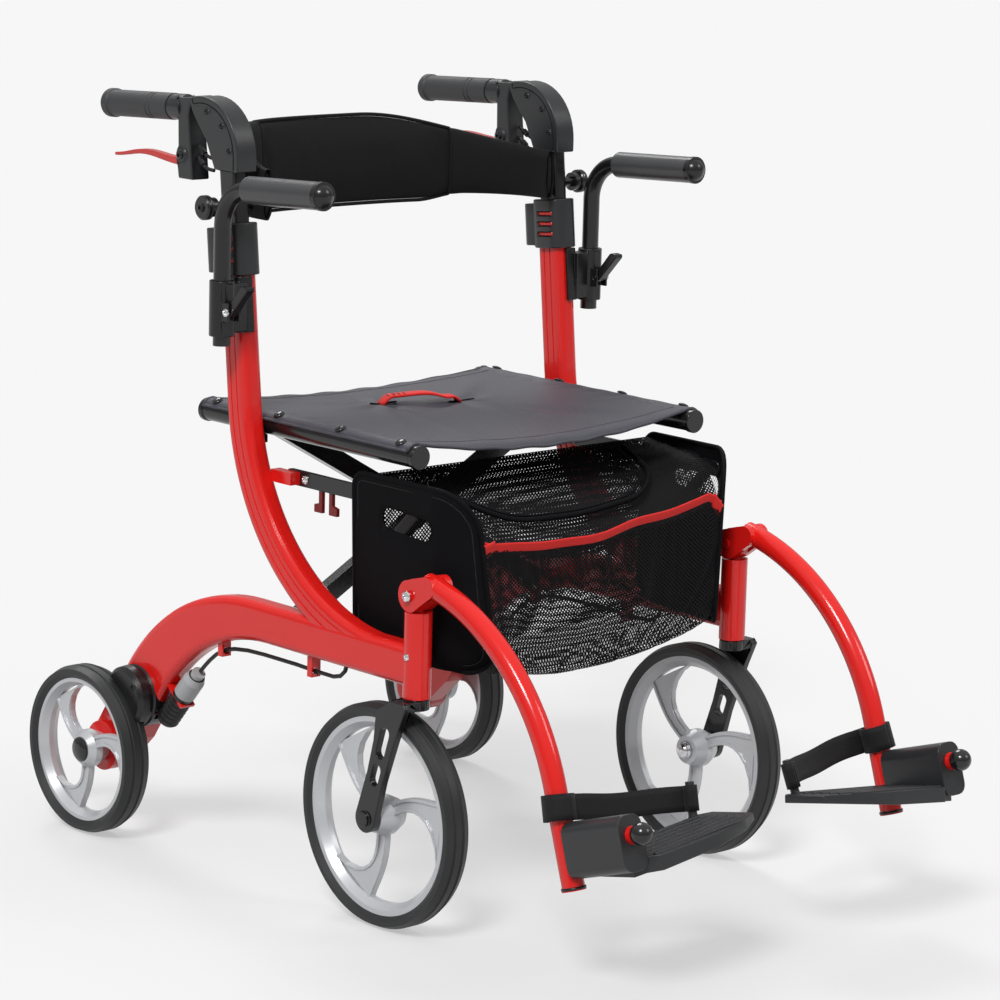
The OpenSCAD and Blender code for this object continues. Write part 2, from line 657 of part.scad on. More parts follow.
// One swirling spoke, from the hub to the rim: narrow at its waist and flared at the rim. It is drawn in from its edges.
module spoke(r0, r1, in, width) {
    n = 9;
    swirl = 32;
    function half(t) = 7.5 + 0.3 * r1 * pow(t, 4) - in;
    function edge(t, h) = let (r = r0 + (r1 - r0) * t, a = swirl * t * t + asin(h / r)) r * [cos(a), sin(a)];
    if (width == 0) polygon(concat([for (i = [0:n]) edge(i / n, half(i / n))], [for (i = [n:-1:0]) edge(i / n, -half(i / n))]));
    else for (g = [-1, 1]) polygon(concat([for (i = [0:n]) edge(i / n, g * half(i / n))],
        [for (i = [n:-1:0]) edge(i / n, g * (half(i / n) - width))]));
}

// Dished rim, hub and swirling spokes with a rib along each edge. The hub reaches inward and outward.
module rim(d, w, hub_r, reach_in, reach_out) {
    seat = d / 2 - tyre_h;
    edge = w * 0.36;
    lip = seat * 0.115;
    web = spoke_t * 0.6;
    difference() {
        rotate([0, 90, 0]) union() {
            rotate_extrude() polygon([[seat - lip, -3.5], [seat - lip * 0.45, -edge], [seat, -edge], [seat, edge],
                [seat - lip * 0.45, edge], [seat - lip, 3.5]]);
            rotate_extrude() polygon([[0, -reach_in], [hub_r * 0.72, -reach_in], [hub_r, -spoke_t / 2], [hub_r, spoke_t / 2],
                [hub_r * 0.72, reach_out], [0, reach_out]]);
            for (i = [0:spoke_n - 1]) rotate(360 * i / spoke_n) {
                translate([0, 0, -web / 2]) linear_extrude(web) spoke(hub_r - 7, seat - lip * 0.7, 0, 0);
                translate([0, 0, -spoke_t / 2]) linear_extrude(spoke_t) spoke(hub_r - 5, seat - lip * 0.75, 0.6, 3.4);
            }
        }
        rod_x(-60, 60, 0, 0, axle_r + run);
    }
}

module at_front() translate([frame_x, front_y, front_z]) children();
module at_rear() translate([rear_x, rear_y, rear_z]) children();

module front_tyre(s) color(black) on_side(s) at_front() tyre(front_d, front_w);
module front_rim(s) color(silver) on_side(s) at_front() rim(front_d, front_w, 23, front_hub, front_hub);
module rear_tyre(s) color(black) on_side(s) at_rear() tyre(rear_d, rear_w);

module rear_rim(s) color(silver) on_side(s) at_rear() rim(rear_d, rear_w, 23, rear_x - boss_x1 - hub_play, rear_hub);

// Rear axle with a nut on the inner side and a domed head that keeps the wheel on.
module rear_axle(s) color(black) on_side(s) {
    rod_x(frame_x - tail_w / 2 - 4, rear_x + rear_hub + 2, rear_y, rear_z, axle_r);
    at_rear() translate([rear_hub + hub_play, 0, 0]) rotate([0, 90, 0])
        rotate_extrude() polygon(concat([[0, 0], [axle_cap_r, 0]], arc([0, 0], 1, 0, 90, 6) * axle_dome));
    translate([frame_x - tail_w / 2 - 10, rear_y, rear_z]) rotate([0, 90, 0]) cylinder(r = 11, h = 8, $fn = 6);
}

// One-armed caster fork: stem, crown, a pierced arm outside the wheel, axle and domed nut.
module fork(s) {
    crown_z = 2 * front_r + 4;
    hub = [front_y, front_z];
    knee = [head_y + 8, crown_z + 4];
    e = (knee - hub) / norm(knee - hub);
    n = [e[1], -e[0]];
    rake = atan2(-e[0], e[1]);
    function on_arm(up, off) = hub + up * e + off * n;
    color(black) on_side(s) {
        rod_z(crown_z + 6, stem_top, frame_x, head_y, stem_r);
        rod_z(crown_z, head_z - 1, frame_x, head_y, head_r - 1);
        translate([frame_x, head_y - 12, crown_z]) cube([fork_x + fork_t - frame_x - 3, 24, 11]);
        difference() {
            yz(fork_x, fork_t) polygon(concat(arc(hub, 16, 180 + rake, 360 + rake, 12),
                [on_arm(54, 14), on_arm(92, 16), on_arm(126, 23), [head_y + 15, crown_z + 8], [head_y + 11, crown_z + 11],
                [head_y - 11, crown_z + 11], [head_y - 15, crown_z + 6], on_arm(122, -18), on_arm(92, -16), on_arm(54, -14)]));
            fork_slot(on_arm(96, 1), 7, 38, rake);
            fork_slot(on_arm(56, 0), 6.5, 26, rake);
        }
        rod_x(frame_x - front_hub - 2, fork_x + fork_t + 4, front_y, front_z, axle_r);
        rod_x(fork_x + fork_t - 1, fork_x + fork_t + 4, front_y, front_z, 9);
        rod_x(frame_x + front_hub + hub_play, fork_x + 1, front_y, front_z, 12);
        translate([frame_x - front_hub - hub_play, front_y, front_z]) rotate([0, -90, 0]) {
            cylinder(r = 10, h = 3);
            translate([0, 0, 3]) intersection() {
                translate([0, 0, -2]) sphere(r = 9);
                cylinder(r = 9, h = 9);
            }
        }
    }
}

// Oval window through the fork arm.
module fork_slot(c, r, len, turn) yz(fork_x - 1, fork_t + 2) translate(c) rotate(turn) polygon(concat(
    arc([0, len / 2 - r], r, 0, 180, 8), arc([0, r - len / 2], r, 180, 360, 8)));

// Bell-shaped cover of the wheel brake: it reaches over the front of the tread, and has a screw hole.
cover_r = 38;
cover_x = frame_x - tail_w / 2 - 7;
module brake_cover(s) color(black) on_side(s) difference() {
    c = [rear_y - 0.315 * rear_d, rear_z + 0.365 * rear_d];
    reach = rear_x - 2 - cover_x;
    translate([cover_x, c[0], c[1]]) rotate([0, 90, 0]) rotate_extrude() polygon([[0, 0], [cover_r - 9, 0], [cover_r - 2, 5],
        [cover_r, 12], [cover_r, reach - 22], [cover_r - 2, reach - 20], [cover_r - 2, reach - 16], [cover_r, reach - 14],
        [cover_r - 1, reach - 5], [cover_r - 6, reach], [0, reach]]);
    tail();
    lower_bend();
    on_boot() translate([0, 0, 40]) cylinder(r = bellows_r + soft_gap, h = 60);
    rod_x(rear_in - 1.5, rear_x + rear_w, rear_y, rear_z, rear_d / 2 + 3);
    rod_x(cover_x + reach - 12, cover_x + reach + 1, c[0] - 22, c[1] + 18, 3.5);
}

boot_top = [rear_y - 166, rear_z + 120];
boot_dir = [0.66, -0.75];
bellows_r = 14;
boot_angle = atan2(boot_dir[0], -boot_dir[1]);

// Frame of the brake pull: z points down along it from the barrel's top.
module on_boot() translate([frame_x, boot_top[0], boot_top[1]]) rotate([180 + boot_angle, 0, 0]) children();

// Welded lug between the barrel and the bellows.
module boot_bracket() on_boot() translate([-10, -36, 46]) cube([20, 50, 4]);

// Cable barrel above its lug, and the ribbed bellows below.
module brake_boot(s) color(black) on_side(s) on_boot() difference() {
    union() {
        cylinder(r = 8, h = 6);
        translate([0, 0, 6]) cylinder(r1 = 10, r2 = 13, h = 8);
        translate([0, 0, 14]) cylinder(r = 13, h = 32);
        translate([0, 0, 50]) rotate_extrude() polygon(concat([[0, 0]],
            [for (k = [0:5]) each [[bellows_r - 2, 7 * k], [bellows_r, 7 * k + 3.5]]],
            [[bellows_r - 2, 42], [6, 47], [0, 47]]));
    }
    translate([0, 0, -1]) cylinder(r = cable_r, h = 5);
}

// Brake cable below the lower tube: held by two guides, from the tube's underside to the barrel.
cable_r = 2.5;
cable_clip_y = [209, 45];
cable_clip_z = [258, 266];
cable_route = [[-14, 286], [-10, 276], [-2, 269], [10, 266], [28, 266], [45, 266], [75, 267], [105, 267], [135, 267],
    [165, 266], [190, 263], [209, 258], [224, 250], [236, 241], [246, 232], [254, 224]];

module brake_cable(s) {
    ring = 8;
    n = len(cable_route);
    function dir(i) = let (v = cable_route[min(i + 1, n - 1)] - cable_route[max(i - 1, 0)]) v / norm(v);
    points = [for (i = [0:n - 1], k = [0:ring - 1]) let (d = dir(i), a = 360 * k / ring, p = cable_route[i])
        [frame_x + cable_r * cos(a), p[0] - cable_r * sin(a) * d[1], p[1] + cable_r * sin(a) * d[0]]];
    sides = [for (i = [0:n - 2], k = [0:ring - 1]) let (a = i * ring + k, b = i * ring + (k + 1) % ring)
        each [[a, b, b + ring], [a, b + ring, a + ring]]];
    color(black) on_side(s) difference() {
        polyhedron(points, concat(sides, [[for (k = [ring - 1:-1:0]) k], [for (k = [0:ring - 1]) (n - 1) * ring + k]]));
        translate([frame_x, 0, lower_z + lower_d / 2 - soft_gap]) along_y(head_y + 3, bend_bottom_y) lower_section();
    }
}

// Post that stands in the head tube and ends in the hinge tongue.
module footrest_post(s) color(red) on_side(s) {
    rod_z(head_top_z - post_in, head_top_z + 1, frame_x, head_y, post_in_r);
    rod_z(head_top_z, knee_z - knee_r - 0.6, frame_x, head_y, head_r);
    difference() {
        union() {
            rod_z(knee_z - knee_r - 2, knee_z, frame_x, head_y, tongue_t / 2);
            rod_x(frame_x - tongue_t / 2, frame_x + tongue_t / 2, head_y, knee_z, knee_r);
        }
        rod_x(frame_x - tongue_t, frame_x + tongue_t, head_y, knee_z, pivot_r + run);
    }
}

// Frame of the leg's straight foot: z points down along it.
module on_foot() translate([leg_x, leg_end_y, leg_end_z]) rotate([180 - pitch, 0, 0]) children();

// Frame of the footplate hinge: y points inward, z points forward along the pin, x points up.
module on_plate() translate([leg_x, foot_y, foot_z]) rotate([90 - pitch, 0, 0]) rotate([0, 0, 90]) children();

// Curved leg with its clevis, the footplate's pin, and the ball on the pin's end.
module footrest_leg(s) color(red) on_side(s) {
    cheek = 8;
    side_gap = 0.4;
    difference() {
        union() {
            for (g = [0, 1]) {
                x0 = g == 0 ? frame_x - tongue_t / 2 - side_gap - cheek : frame_x + tongue_t / 2 + side_gap;
                yz(x0, cheek) polygon(concat(arc([head_y, knee_z], knee_r, -110, 62, 14),
                    arc([leg_y - 9, leg_z - 2], leg_r, 78, 250, 8)));
            }
            translate([frame_x - tongue_t / 2 - 1, leg_y - 14, leg_z - 13]) cube([tongue_t + 2, 12, 22]);
            turn_x(leg_x, leg_y - leg_bend_r * sin(-leg_from), leg_z - leg_bend_r * cos(leg_from), 90 + leg_from,
                leg_to - leg_from) translate([leg_bend_r, 0]) circle(r = leg_r);
        }
        rod_x(frame_x - tongue_t / 2 - side_gap, frame_x + tongue_t / 2 + side_gap, head_y, knee_z, knee_r + 0.6);
    }
    rod_x(frame_x - tongue_t / 2 - cheek - 3, frame_x + tongue_t / 2 + cheek + 3, head_y, knee_z, pivot_r);
    on_foot() {
        translate([0, 0, -4]) cylinder(r = leg_r - 1, h = 8);
        cylinder(r = leg_r, h = leg_foot);
        translate([0, 0, leg_foot]) cylinder(r = leg_r + 0.8, h = 4);
    }
    on_plate() {
        cylinder(r = foot_pin_r, h = sleeve_s0 + sleeve_len + 8);
        translate([0, 0, sleeve_s0 + sleeve_len + 0.4]) cylinder(r = 10, h = 6);
        translate([0, 0, ball_s]) sphere(r = ball_r);
    }
}

// Footplate with its hinge sleeve, tread ribs and the post that holds the heel strap.
plate_low = -30;
plate_rise = 6;
plate_nose = 6;
module footplate(s) color(graphite) on_side(s) on_plate() difference() {
    mid = sleeve_s0 + sleeve_len / 2;
    front = plate_len / 2 + 6;
    rear = 5 - plate_len / 2;
    outline = [[front - 16, 0], [front - 14, 16], [front, 28], [front, plate_reach * 0.58], [front - 9, plate_reach * 0.84],
        [front - 28, plate_reach], [rear + 12, plate_reach], [rear, plate_reach - 14], [rear, 0]];
    union() {
        translate([-8, 0, sleeve_s0]) linear_extrude(sleeve_len) polygon(rounded(60, sleeve_w, 12));
        translate([plate_low, 0, mid]) rotate([0, -plate_nose, 0]) rotate([0, 0, -plate_rise]) intersection() {
            union() {
                translate([0, 0, -plate_len]) linear_extrude(2 * plate_len) polygon([[7, 0], [7, plate_reach - 3],
                    [5, plate_reach], [-2, plate_reach], [-8, plate_reach * 0.55], [-10, 0]]);
                for (k = [0:plate_ribs - 1]) translate([5, 26, rear + 7 + (front - rear - 18) * k / (plate_ribs - 1)])
                    cube([4, plate_reach - 46, 4]);
            }
            rotate([0, 90, 0]) translate([0, 0, -40]) linear_extrude(80) polygon([for (p = outline) [-p[0], p[1]]]);
        }
        on_heel() translate([-13, heel_reach, sleeve_s0 + 8]) rotate([0, 90, 0]) cylinder(r = heel_post_r, h = heel_w + 17);
    }
    translate([0, 0, -1]) cylinder(r = foot_pin_r + run, h = sleeve_s0 + sleeve_len + 2);
    translate([0, 0, sleeve_s0 + sleeve_len]) cylinder(r = ball_r + 1.5, h = 60);
}
heel_post_r = 5;
heel_w = 28;
heel_z = 24;
heel_fall = 6.5;
heel_reach = plate_reach - 24;

// Frame of the heel strap in the footplate's: it starts above the sleeve and falls toward the post.
module on_heel() translate([heel_z + heel_w / 2, 0, 0]) rotate([0, 0, heel_fall]) translate([-heel_w / 2, 0, 0]) children();

// Webbing round the leg and the footplate's post, bowed back behind the heel.
module heel_strap(s) {
    leg_c = [0, 0];
    post_c = [-sleeve_s0 - 8, heel_reach];
    t = 2.5;
    r0 = leg_r + heel_w / 2 * tan(heel_fall) + soft_gap;
    r1 = heel_post_r + soft_gap;
    n = 12;
    function bow(u) = leg_c + (post_c - leg_c) * u + [(r0 + t / 2) * (1 - u) + (r1 + t / 2) * u + 22 * sin(180 * u), 0];
    color(black) on_side(s) on_plate() on_heel() rotate([0, 90, 0]) linear_extrude(heel_w) difference() {
        union() {
            translate(leg_c) circle(r = r0 + t);
            translate(post_c) circle(r = r1 + t);
            polygon(concat([for (i = [0:n]) bow(i / n) + [t / 2, 0]], [for (i = [n:-1:0]) bow(i / n) - [t / 2, 0]]));
        }
        translate(leg_c) circle(r = r0);
        translate(post_c) circle(r = r1);
    }
}

// A bar from the lower pivot on one side to the seat rail on the other, with that rail.
module brace(s, y) {
    length = arm_low + arm_up;
    difference() {
        union() {
            translate([s * pivot_x, y, pivot_z]) rotate([0, s > 0 ? rest_angle : -rest_angle, 0])
                mirror([s > 0 ? 1 : 0, 0, 0]) rotate([90, 0, 0]) translate([0, 0, -brace_t / 2]) linear_extrude(brace_t)
                polygon(concat(arc([0, 0], brace_d / 2, 90, 270, 8), [[length, -brace_d / 2], [length, brace_d / 2]]));
            rod_y(rail_front, rail_back, -s * rail_x, rail_z, rail_r);
            for (e = [rail_front, rail_back - 7]) rod_y(e, e + 7, -s * rail_x, rail_z, rail_r + 1.2);
        }
        rod_y(y - brace_t, y + brace_t, s * pivot_x, pivot_z, pivot_r + run);
        children();
    }
}

module brace_a() color(black) centred() {
    brace(-1, brace_a_y);
    rod_y(brace_a_y - brace_t / 2 - 5, brace_b_y + brace_t / 2 + 5, 0, cross_z, pivot_r);
    rod_y(brace_a_y - brace_t / 2 - 5, brace_a_y - brace_t / 2, 0, cross_z, 9);
    rod_y(brace_b_y + brace_t / 2 + 0.4, brace_b_y + brace_t / 2 + 5, 0, cross_z, 9);
}

module brace_b() color(black) centred() brace(1, brace_b_y)
    rod_y(brace_b_y - brace_t, brace_b_y + brace_t, 0, cross_z, pivot_r + run);

// Sling over both rails. Between its lips the underside sags, more in the middle than at the hems.
seat_step = 20;
seat_r = (rail_r + soft_gap) / cos(seat_step / 2);
seat_lip = rail_x - seat_r / 2;
seat_y0 = rail_front + 8;
seat_y1 = rail_back - 8;
function seat_crease(x, v) = 1.2 * sin(720 * v + 3 * abs(x)) * (1 - abs(x) / seat_lip);
function seat_under(x, v) = rail_z + seat_r * sin(60) + seat_crease(x, v)
    - (0.72 + 0.28 * sin(180 * v)) * seat_sag * (1 - pow(x / seat_lip, 2));
function seat_wrap(k, t) = [rail_x, rail_z] + (seat_r + t) * [cos(seat_step * (k + 1)), sin(seat_step * (k + 1))];

module seat_cloth() {
    wraps = 5;
    spans = 16;
    ny = 14;
    nx = spans + 2 * wraps;
    function section(i, v, t) =
        i < wraps ? let (w = seat_wrap(i, t)) [-w[0], w[1]]
        : i > nx - wraps ? seat_wrap(nx - i, t)
        : let (x = seat_lip * (2 * (i - wraps) / spans - 1)) [x, seat_under(x, v) + t];
    function at(i, j, t) = let (v = j / ny, p = section(i, v, t)) [p[0], seat_y0 + (seat_y1 - seat_y0) * v, p[1]];
    points = [for (t = [0, cloth_t], j = [0:ny], i = [0:nx]) at(i, j, t)];
    row = nx + 1;
    m = row * (ny + 1);
    faces = concat(
        [for (j = [0:ny - 1], i = [0:nx - 1]) let (a = j * row + i) each [[a, a + 1, a + row + 1], [a, a + row + 1, a + row]]],
        [for (j = [0:ny - 1], i = [0:nx - 1]) let (a = m + j * row + i)
            each [[a, a + row + 1, a + 1], [a, a + row, a + row + 1]]],
        [for (i = [0:nx - 1]) each [[i, i + m, i + 1], [i + 1, i + m, i + m + 1]]],
        [for (i = [0:nx - 1]) let (a = ny * row + i) each [[a, a + 1, a + m], [a + 1, a + m + 1, a + m]]],
        [for (j = [0:ny - 1]) let (a = j * row) each [[a, a + row, a + m], [a + row, a + row + m, a + m]]],
        [for (j = [0:ny - 1]) let (a = j * row + nx) each [[a, a + m, a + row], [a + row, a + m, a + row + m]]]);
    color(slate) centred() polyhedron(points, faces);
}

// Arched strap in the middle of the seat that pulls the chair shut.
module seat_pull() {
    half = 47;
    y = 156;
    w = 21;
    t = 4;
    rise = 15;
    n = 16;
    span = seat_y1 - seat_y0;
    base = max([for (d = [-1, 0, 1]) seat_under(half, (y + d * w / 2 - seat_y0) / span)]) + cloth_t + soft_gap;
    function arch(u) = base + rise * (1 - pow(abs(u), 3));
    color(red) centred() along_y(y - w / 2, y + w / 2) polygon(concat(
        [for (i = [0:n]) let (u = 2 * i / n - 1) [half * u, arch(u)]],
        [for (i = [n:-1:0]) let (u = 2 * i / n - 1) [half * u, arch(u) + t]]));
}

// Side outline of the bag, drawn in by an inset: a sloped lid, then a front that stands out below it.
function bag_outline(inset) = let (y1 = bag_front + bag_d) concat(
    arc([y1 - 26, bag_top - 26], 26 - inset, 0, 90, 4),
    arc([bag_front + 60, bag_top - 16], 16 - inset, 90, 130, 2),
    arc([bag_front + 30, bag_top - 70], 30 - inset, 130, 180, 3),
    arc([bag_front + 26, bag_low + 26], 26 - inset, 180, 270, 4),
    arc([y1 - 40, bag_low + 40], 40 - inset, 270, 360, 4));

// Bag hung between the two bars: stiff side panels with a window, and a wrap between them.
module bag() color(black) {
    y1 = bag_front + bag_d;
    for (s = [-1, 1]) on_side(s) {
        yz(bag_x - bag_wall, bag_wall) difference() {
            polygon(bag_outline(0));
            translate([y1 - 92, bag_top - 44]) polygon(rounded(66, 30, 12));
        }
        difference() {
            yz(bag_x - 0.1, bar_x + bar_t / 2 + soft_gap + hem_t - bag_x + 0.1)
                translate([bar_front - hem_t, bar_z - bar_h / 2 - hem_t])
                square([y1 - 6 - bar_front + hem_t, bar_h + 2 * hem_t]);
            yz(bar_x - bar_t / 2 - soft_gap, bar_t + 2 * soft_gap)
                translate([bar_front - soft_gap, bar_z - bar_h / 2 - soft_gap])
                square([bar_back - bar_front, bar_h + 2 * soft_gap]);
        }
    }
    centred() yz(-bag_x + bag_wall / 2, 2 * bag_x - bag_wall) difference() {
        polygon(bag_outline(0.05));
        polygon(bag_outline(bag_wall));
    }
}

side_frame(-1);  // side_frame_r
side_frame(1);  // side_frame_l
height_clamp(-1);  // height_clamp_r
height_clamp(1);  // height_clamp_l
armrest_bracket(-1);  // armrest_bracket_r
armrest_bracket(1);  // armrest_bracket_l
rail_saddle(-1);  // rail_saddle_r
rail_saddle(1);  // rail_saddle_l
bag_bar(-1);  // bag_bar_r
bag_bar(1);  // bag_bar_l
brake_cover(-1);  // brake_cover_r
brake_cover(1);  // brake_cover_l
brake_boot(-1);  // brake_boot_r
brake_boot(1);  // brake_boot_l
brake_cable(-1);  // brake_cable_r
brake_cable(1);  // brake_cable_l
rear_axle(-1);  // rear_axle_r
rear_axle(1);  // rear_axle_l
fork(-1);  // fork_r
fork(1);  // fork_l
front_tyre(-1);  // front_tyre_r
front_tyre(1);  // front_tyre_l
front_rim(-1);  // front_rim_r
front_rim(1);  // front_rim_l
rear_tyre(-1);  // rear_tyre_r
rear_tyre(1);  // rear_tyre_l
rear_rim(-1);  // rear_rim_r
rear_rim(1);  // rear_rim_l
handle_tube(-1);  // handle_tube_r
handle_tube(1);  // handle_tube_l
handle_hood(-1);  // handle_hood_r
handle_hood(1);  // handle_hood_l
grip(-1);  // grip_r
grip(1);  // grip_l
brake_lever(-1);  // brake_lever_r
brake_lever(1);  // brake_lever_l
back_arm(-1);  // back_arm_r
back_arm(1);  // back_arm_l
armrest_tube(-1);  // armrest_tube_r
armrest_tube(1);  // armrest_tube_l
armrest_pad(-1);  // armrest_pad_r
armrest_pad(1);  // armrest_pad_l
cam_lever(-1);  // cam_lever_r
cam_lever(1);  // cam_lever_l
footrest_post(-1);  // footrest_post_r
footrest_post(1);  // footrest_post_l
footrest_leg(-1);  // footrest_leg_r
footrest_leg(1);  // footrest_leg_l
footplate(-1);  // footplate_r
footplate(1);  // footplate_l
heel_strap(-1);  // heel_strap_r
heel_strap(1);  // heel_strap_l
brace_a();
brace_b();
seat_cloth();
seat_pull();
back_strap();
bag();
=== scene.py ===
"""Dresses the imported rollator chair: finishes for its solids, modelled soft goods and small trim."""

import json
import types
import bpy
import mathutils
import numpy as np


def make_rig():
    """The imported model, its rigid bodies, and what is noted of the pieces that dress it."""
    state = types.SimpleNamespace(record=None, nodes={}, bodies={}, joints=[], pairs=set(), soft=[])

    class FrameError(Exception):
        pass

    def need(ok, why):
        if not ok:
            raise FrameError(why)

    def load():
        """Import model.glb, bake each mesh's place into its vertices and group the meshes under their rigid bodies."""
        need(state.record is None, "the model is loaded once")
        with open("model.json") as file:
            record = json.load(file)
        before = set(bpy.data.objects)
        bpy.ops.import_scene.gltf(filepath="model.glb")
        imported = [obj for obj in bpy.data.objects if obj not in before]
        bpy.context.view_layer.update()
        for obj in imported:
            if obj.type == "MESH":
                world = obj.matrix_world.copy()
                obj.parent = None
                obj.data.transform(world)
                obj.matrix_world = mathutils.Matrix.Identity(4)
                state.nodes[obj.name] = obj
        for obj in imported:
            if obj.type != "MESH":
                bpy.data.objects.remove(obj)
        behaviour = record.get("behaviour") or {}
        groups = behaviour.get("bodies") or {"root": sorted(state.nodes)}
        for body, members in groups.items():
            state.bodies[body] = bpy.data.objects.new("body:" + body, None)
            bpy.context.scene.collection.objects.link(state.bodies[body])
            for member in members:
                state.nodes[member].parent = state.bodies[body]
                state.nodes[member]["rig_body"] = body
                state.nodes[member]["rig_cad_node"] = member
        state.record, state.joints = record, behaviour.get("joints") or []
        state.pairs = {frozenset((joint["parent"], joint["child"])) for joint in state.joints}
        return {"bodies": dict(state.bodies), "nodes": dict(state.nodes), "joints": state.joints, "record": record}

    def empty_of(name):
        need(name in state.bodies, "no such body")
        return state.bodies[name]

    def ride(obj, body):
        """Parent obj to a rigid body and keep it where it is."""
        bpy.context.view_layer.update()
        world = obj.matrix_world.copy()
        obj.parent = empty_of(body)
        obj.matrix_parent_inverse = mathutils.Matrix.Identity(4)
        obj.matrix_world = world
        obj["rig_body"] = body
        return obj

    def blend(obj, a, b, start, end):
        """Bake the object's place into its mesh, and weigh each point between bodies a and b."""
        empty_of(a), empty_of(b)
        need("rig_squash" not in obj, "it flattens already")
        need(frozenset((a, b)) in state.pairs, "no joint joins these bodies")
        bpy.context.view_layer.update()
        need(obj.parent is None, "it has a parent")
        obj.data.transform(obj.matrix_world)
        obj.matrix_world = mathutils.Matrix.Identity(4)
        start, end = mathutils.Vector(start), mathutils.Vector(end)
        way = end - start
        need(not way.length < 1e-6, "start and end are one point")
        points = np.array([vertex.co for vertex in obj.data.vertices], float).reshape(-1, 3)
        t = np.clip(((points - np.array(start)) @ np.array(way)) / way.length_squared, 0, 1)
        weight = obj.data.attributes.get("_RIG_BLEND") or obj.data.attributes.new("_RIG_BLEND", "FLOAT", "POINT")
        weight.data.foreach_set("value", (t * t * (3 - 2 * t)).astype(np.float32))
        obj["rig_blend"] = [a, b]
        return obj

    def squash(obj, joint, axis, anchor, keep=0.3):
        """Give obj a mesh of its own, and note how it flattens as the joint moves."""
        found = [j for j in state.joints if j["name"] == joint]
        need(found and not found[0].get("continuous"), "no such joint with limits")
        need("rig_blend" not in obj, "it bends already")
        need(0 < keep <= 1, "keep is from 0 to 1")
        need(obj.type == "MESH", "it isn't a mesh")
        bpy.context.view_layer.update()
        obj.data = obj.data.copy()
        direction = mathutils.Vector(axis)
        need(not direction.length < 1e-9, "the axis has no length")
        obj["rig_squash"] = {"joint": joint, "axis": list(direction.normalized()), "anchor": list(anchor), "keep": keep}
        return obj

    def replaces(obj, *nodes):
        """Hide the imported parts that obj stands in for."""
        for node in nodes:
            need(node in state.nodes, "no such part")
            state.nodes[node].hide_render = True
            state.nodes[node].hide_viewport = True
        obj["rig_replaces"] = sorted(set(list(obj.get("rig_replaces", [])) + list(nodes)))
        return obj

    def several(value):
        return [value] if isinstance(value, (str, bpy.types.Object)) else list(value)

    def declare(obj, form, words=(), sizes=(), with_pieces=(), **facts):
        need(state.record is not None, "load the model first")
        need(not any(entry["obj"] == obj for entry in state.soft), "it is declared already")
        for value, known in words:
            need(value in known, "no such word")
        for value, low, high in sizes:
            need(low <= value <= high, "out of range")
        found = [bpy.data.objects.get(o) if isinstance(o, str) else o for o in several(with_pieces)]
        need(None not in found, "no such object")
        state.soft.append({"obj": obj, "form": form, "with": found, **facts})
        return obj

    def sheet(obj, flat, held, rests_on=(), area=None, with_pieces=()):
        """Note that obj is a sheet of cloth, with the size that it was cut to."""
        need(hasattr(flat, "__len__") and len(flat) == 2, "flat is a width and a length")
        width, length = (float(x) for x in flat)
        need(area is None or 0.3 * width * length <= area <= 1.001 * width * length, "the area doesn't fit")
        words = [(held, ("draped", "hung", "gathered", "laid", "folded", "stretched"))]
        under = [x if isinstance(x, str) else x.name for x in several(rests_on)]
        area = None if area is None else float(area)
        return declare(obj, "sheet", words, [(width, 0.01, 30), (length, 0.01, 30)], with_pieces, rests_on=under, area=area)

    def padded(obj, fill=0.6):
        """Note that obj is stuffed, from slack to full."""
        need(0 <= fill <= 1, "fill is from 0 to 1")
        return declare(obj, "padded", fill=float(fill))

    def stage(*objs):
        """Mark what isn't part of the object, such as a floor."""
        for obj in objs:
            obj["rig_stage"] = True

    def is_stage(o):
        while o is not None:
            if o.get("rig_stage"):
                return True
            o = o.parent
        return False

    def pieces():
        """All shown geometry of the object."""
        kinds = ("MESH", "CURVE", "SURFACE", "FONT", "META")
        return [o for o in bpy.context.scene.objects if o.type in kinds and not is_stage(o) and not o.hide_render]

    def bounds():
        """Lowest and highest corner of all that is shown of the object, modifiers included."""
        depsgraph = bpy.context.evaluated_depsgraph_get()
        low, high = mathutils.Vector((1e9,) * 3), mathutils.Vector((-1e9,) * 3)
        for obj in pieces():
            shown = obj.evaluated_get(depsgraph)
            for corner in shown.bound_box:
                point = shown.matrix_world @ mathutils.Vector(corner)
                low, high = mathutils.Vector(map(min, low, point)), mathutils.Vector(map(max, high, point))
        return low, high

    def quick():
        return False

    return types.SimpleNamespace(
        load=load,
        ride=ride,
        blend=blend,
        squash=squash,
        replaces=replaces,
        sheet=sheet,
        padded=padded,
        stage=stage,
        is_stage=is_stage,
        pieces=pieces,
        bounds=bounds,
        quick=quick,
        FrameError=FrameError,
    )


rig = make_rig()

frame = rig.load()
CAD_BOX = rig.bounds()

import json
import logging
import math
from dataclasses import dataclass, field
from enum import Enum
from typing import Callable, Sequence

import bmesh
import bpy
from mathutils import Matrix, Vector

LOG = logging.getLogger("rollator")
# Where the drawing's origin lies in the row's frame, along y, in millimetres.
ORIGIN_Y = -10.2505
# Middle plane of the left-hand side frame, in millimetres.
FRAME_X = 244.0
Colour = tuple[float, float, float]
Profile = Sequence[tuple[float, float]]
Path = Sequence[Vector]
Place = Callable[[float, float], Vector]


def kind_of(node: str) -> str:
    """A node's name without its side."""
    return node[:-2] if node.endswith(("_r", "_l")) else node


def fill(node: bpy.types.Node, values: dict[str, object]) -> None:
    """Sets plain values on a node's inputs.

    Args:
        node: node that gets them.
        values: input name to value.
    """
    for label, value in values.items():
        node.inputs[label].default_value = value


def at(x: float, y: float, z: float) -> Vector:
    """Turns a point of the drawing, in millimetres, into the row's frame, in metres."""
    return Vector((x, y + ORIGIN_Y, z)) / 1000


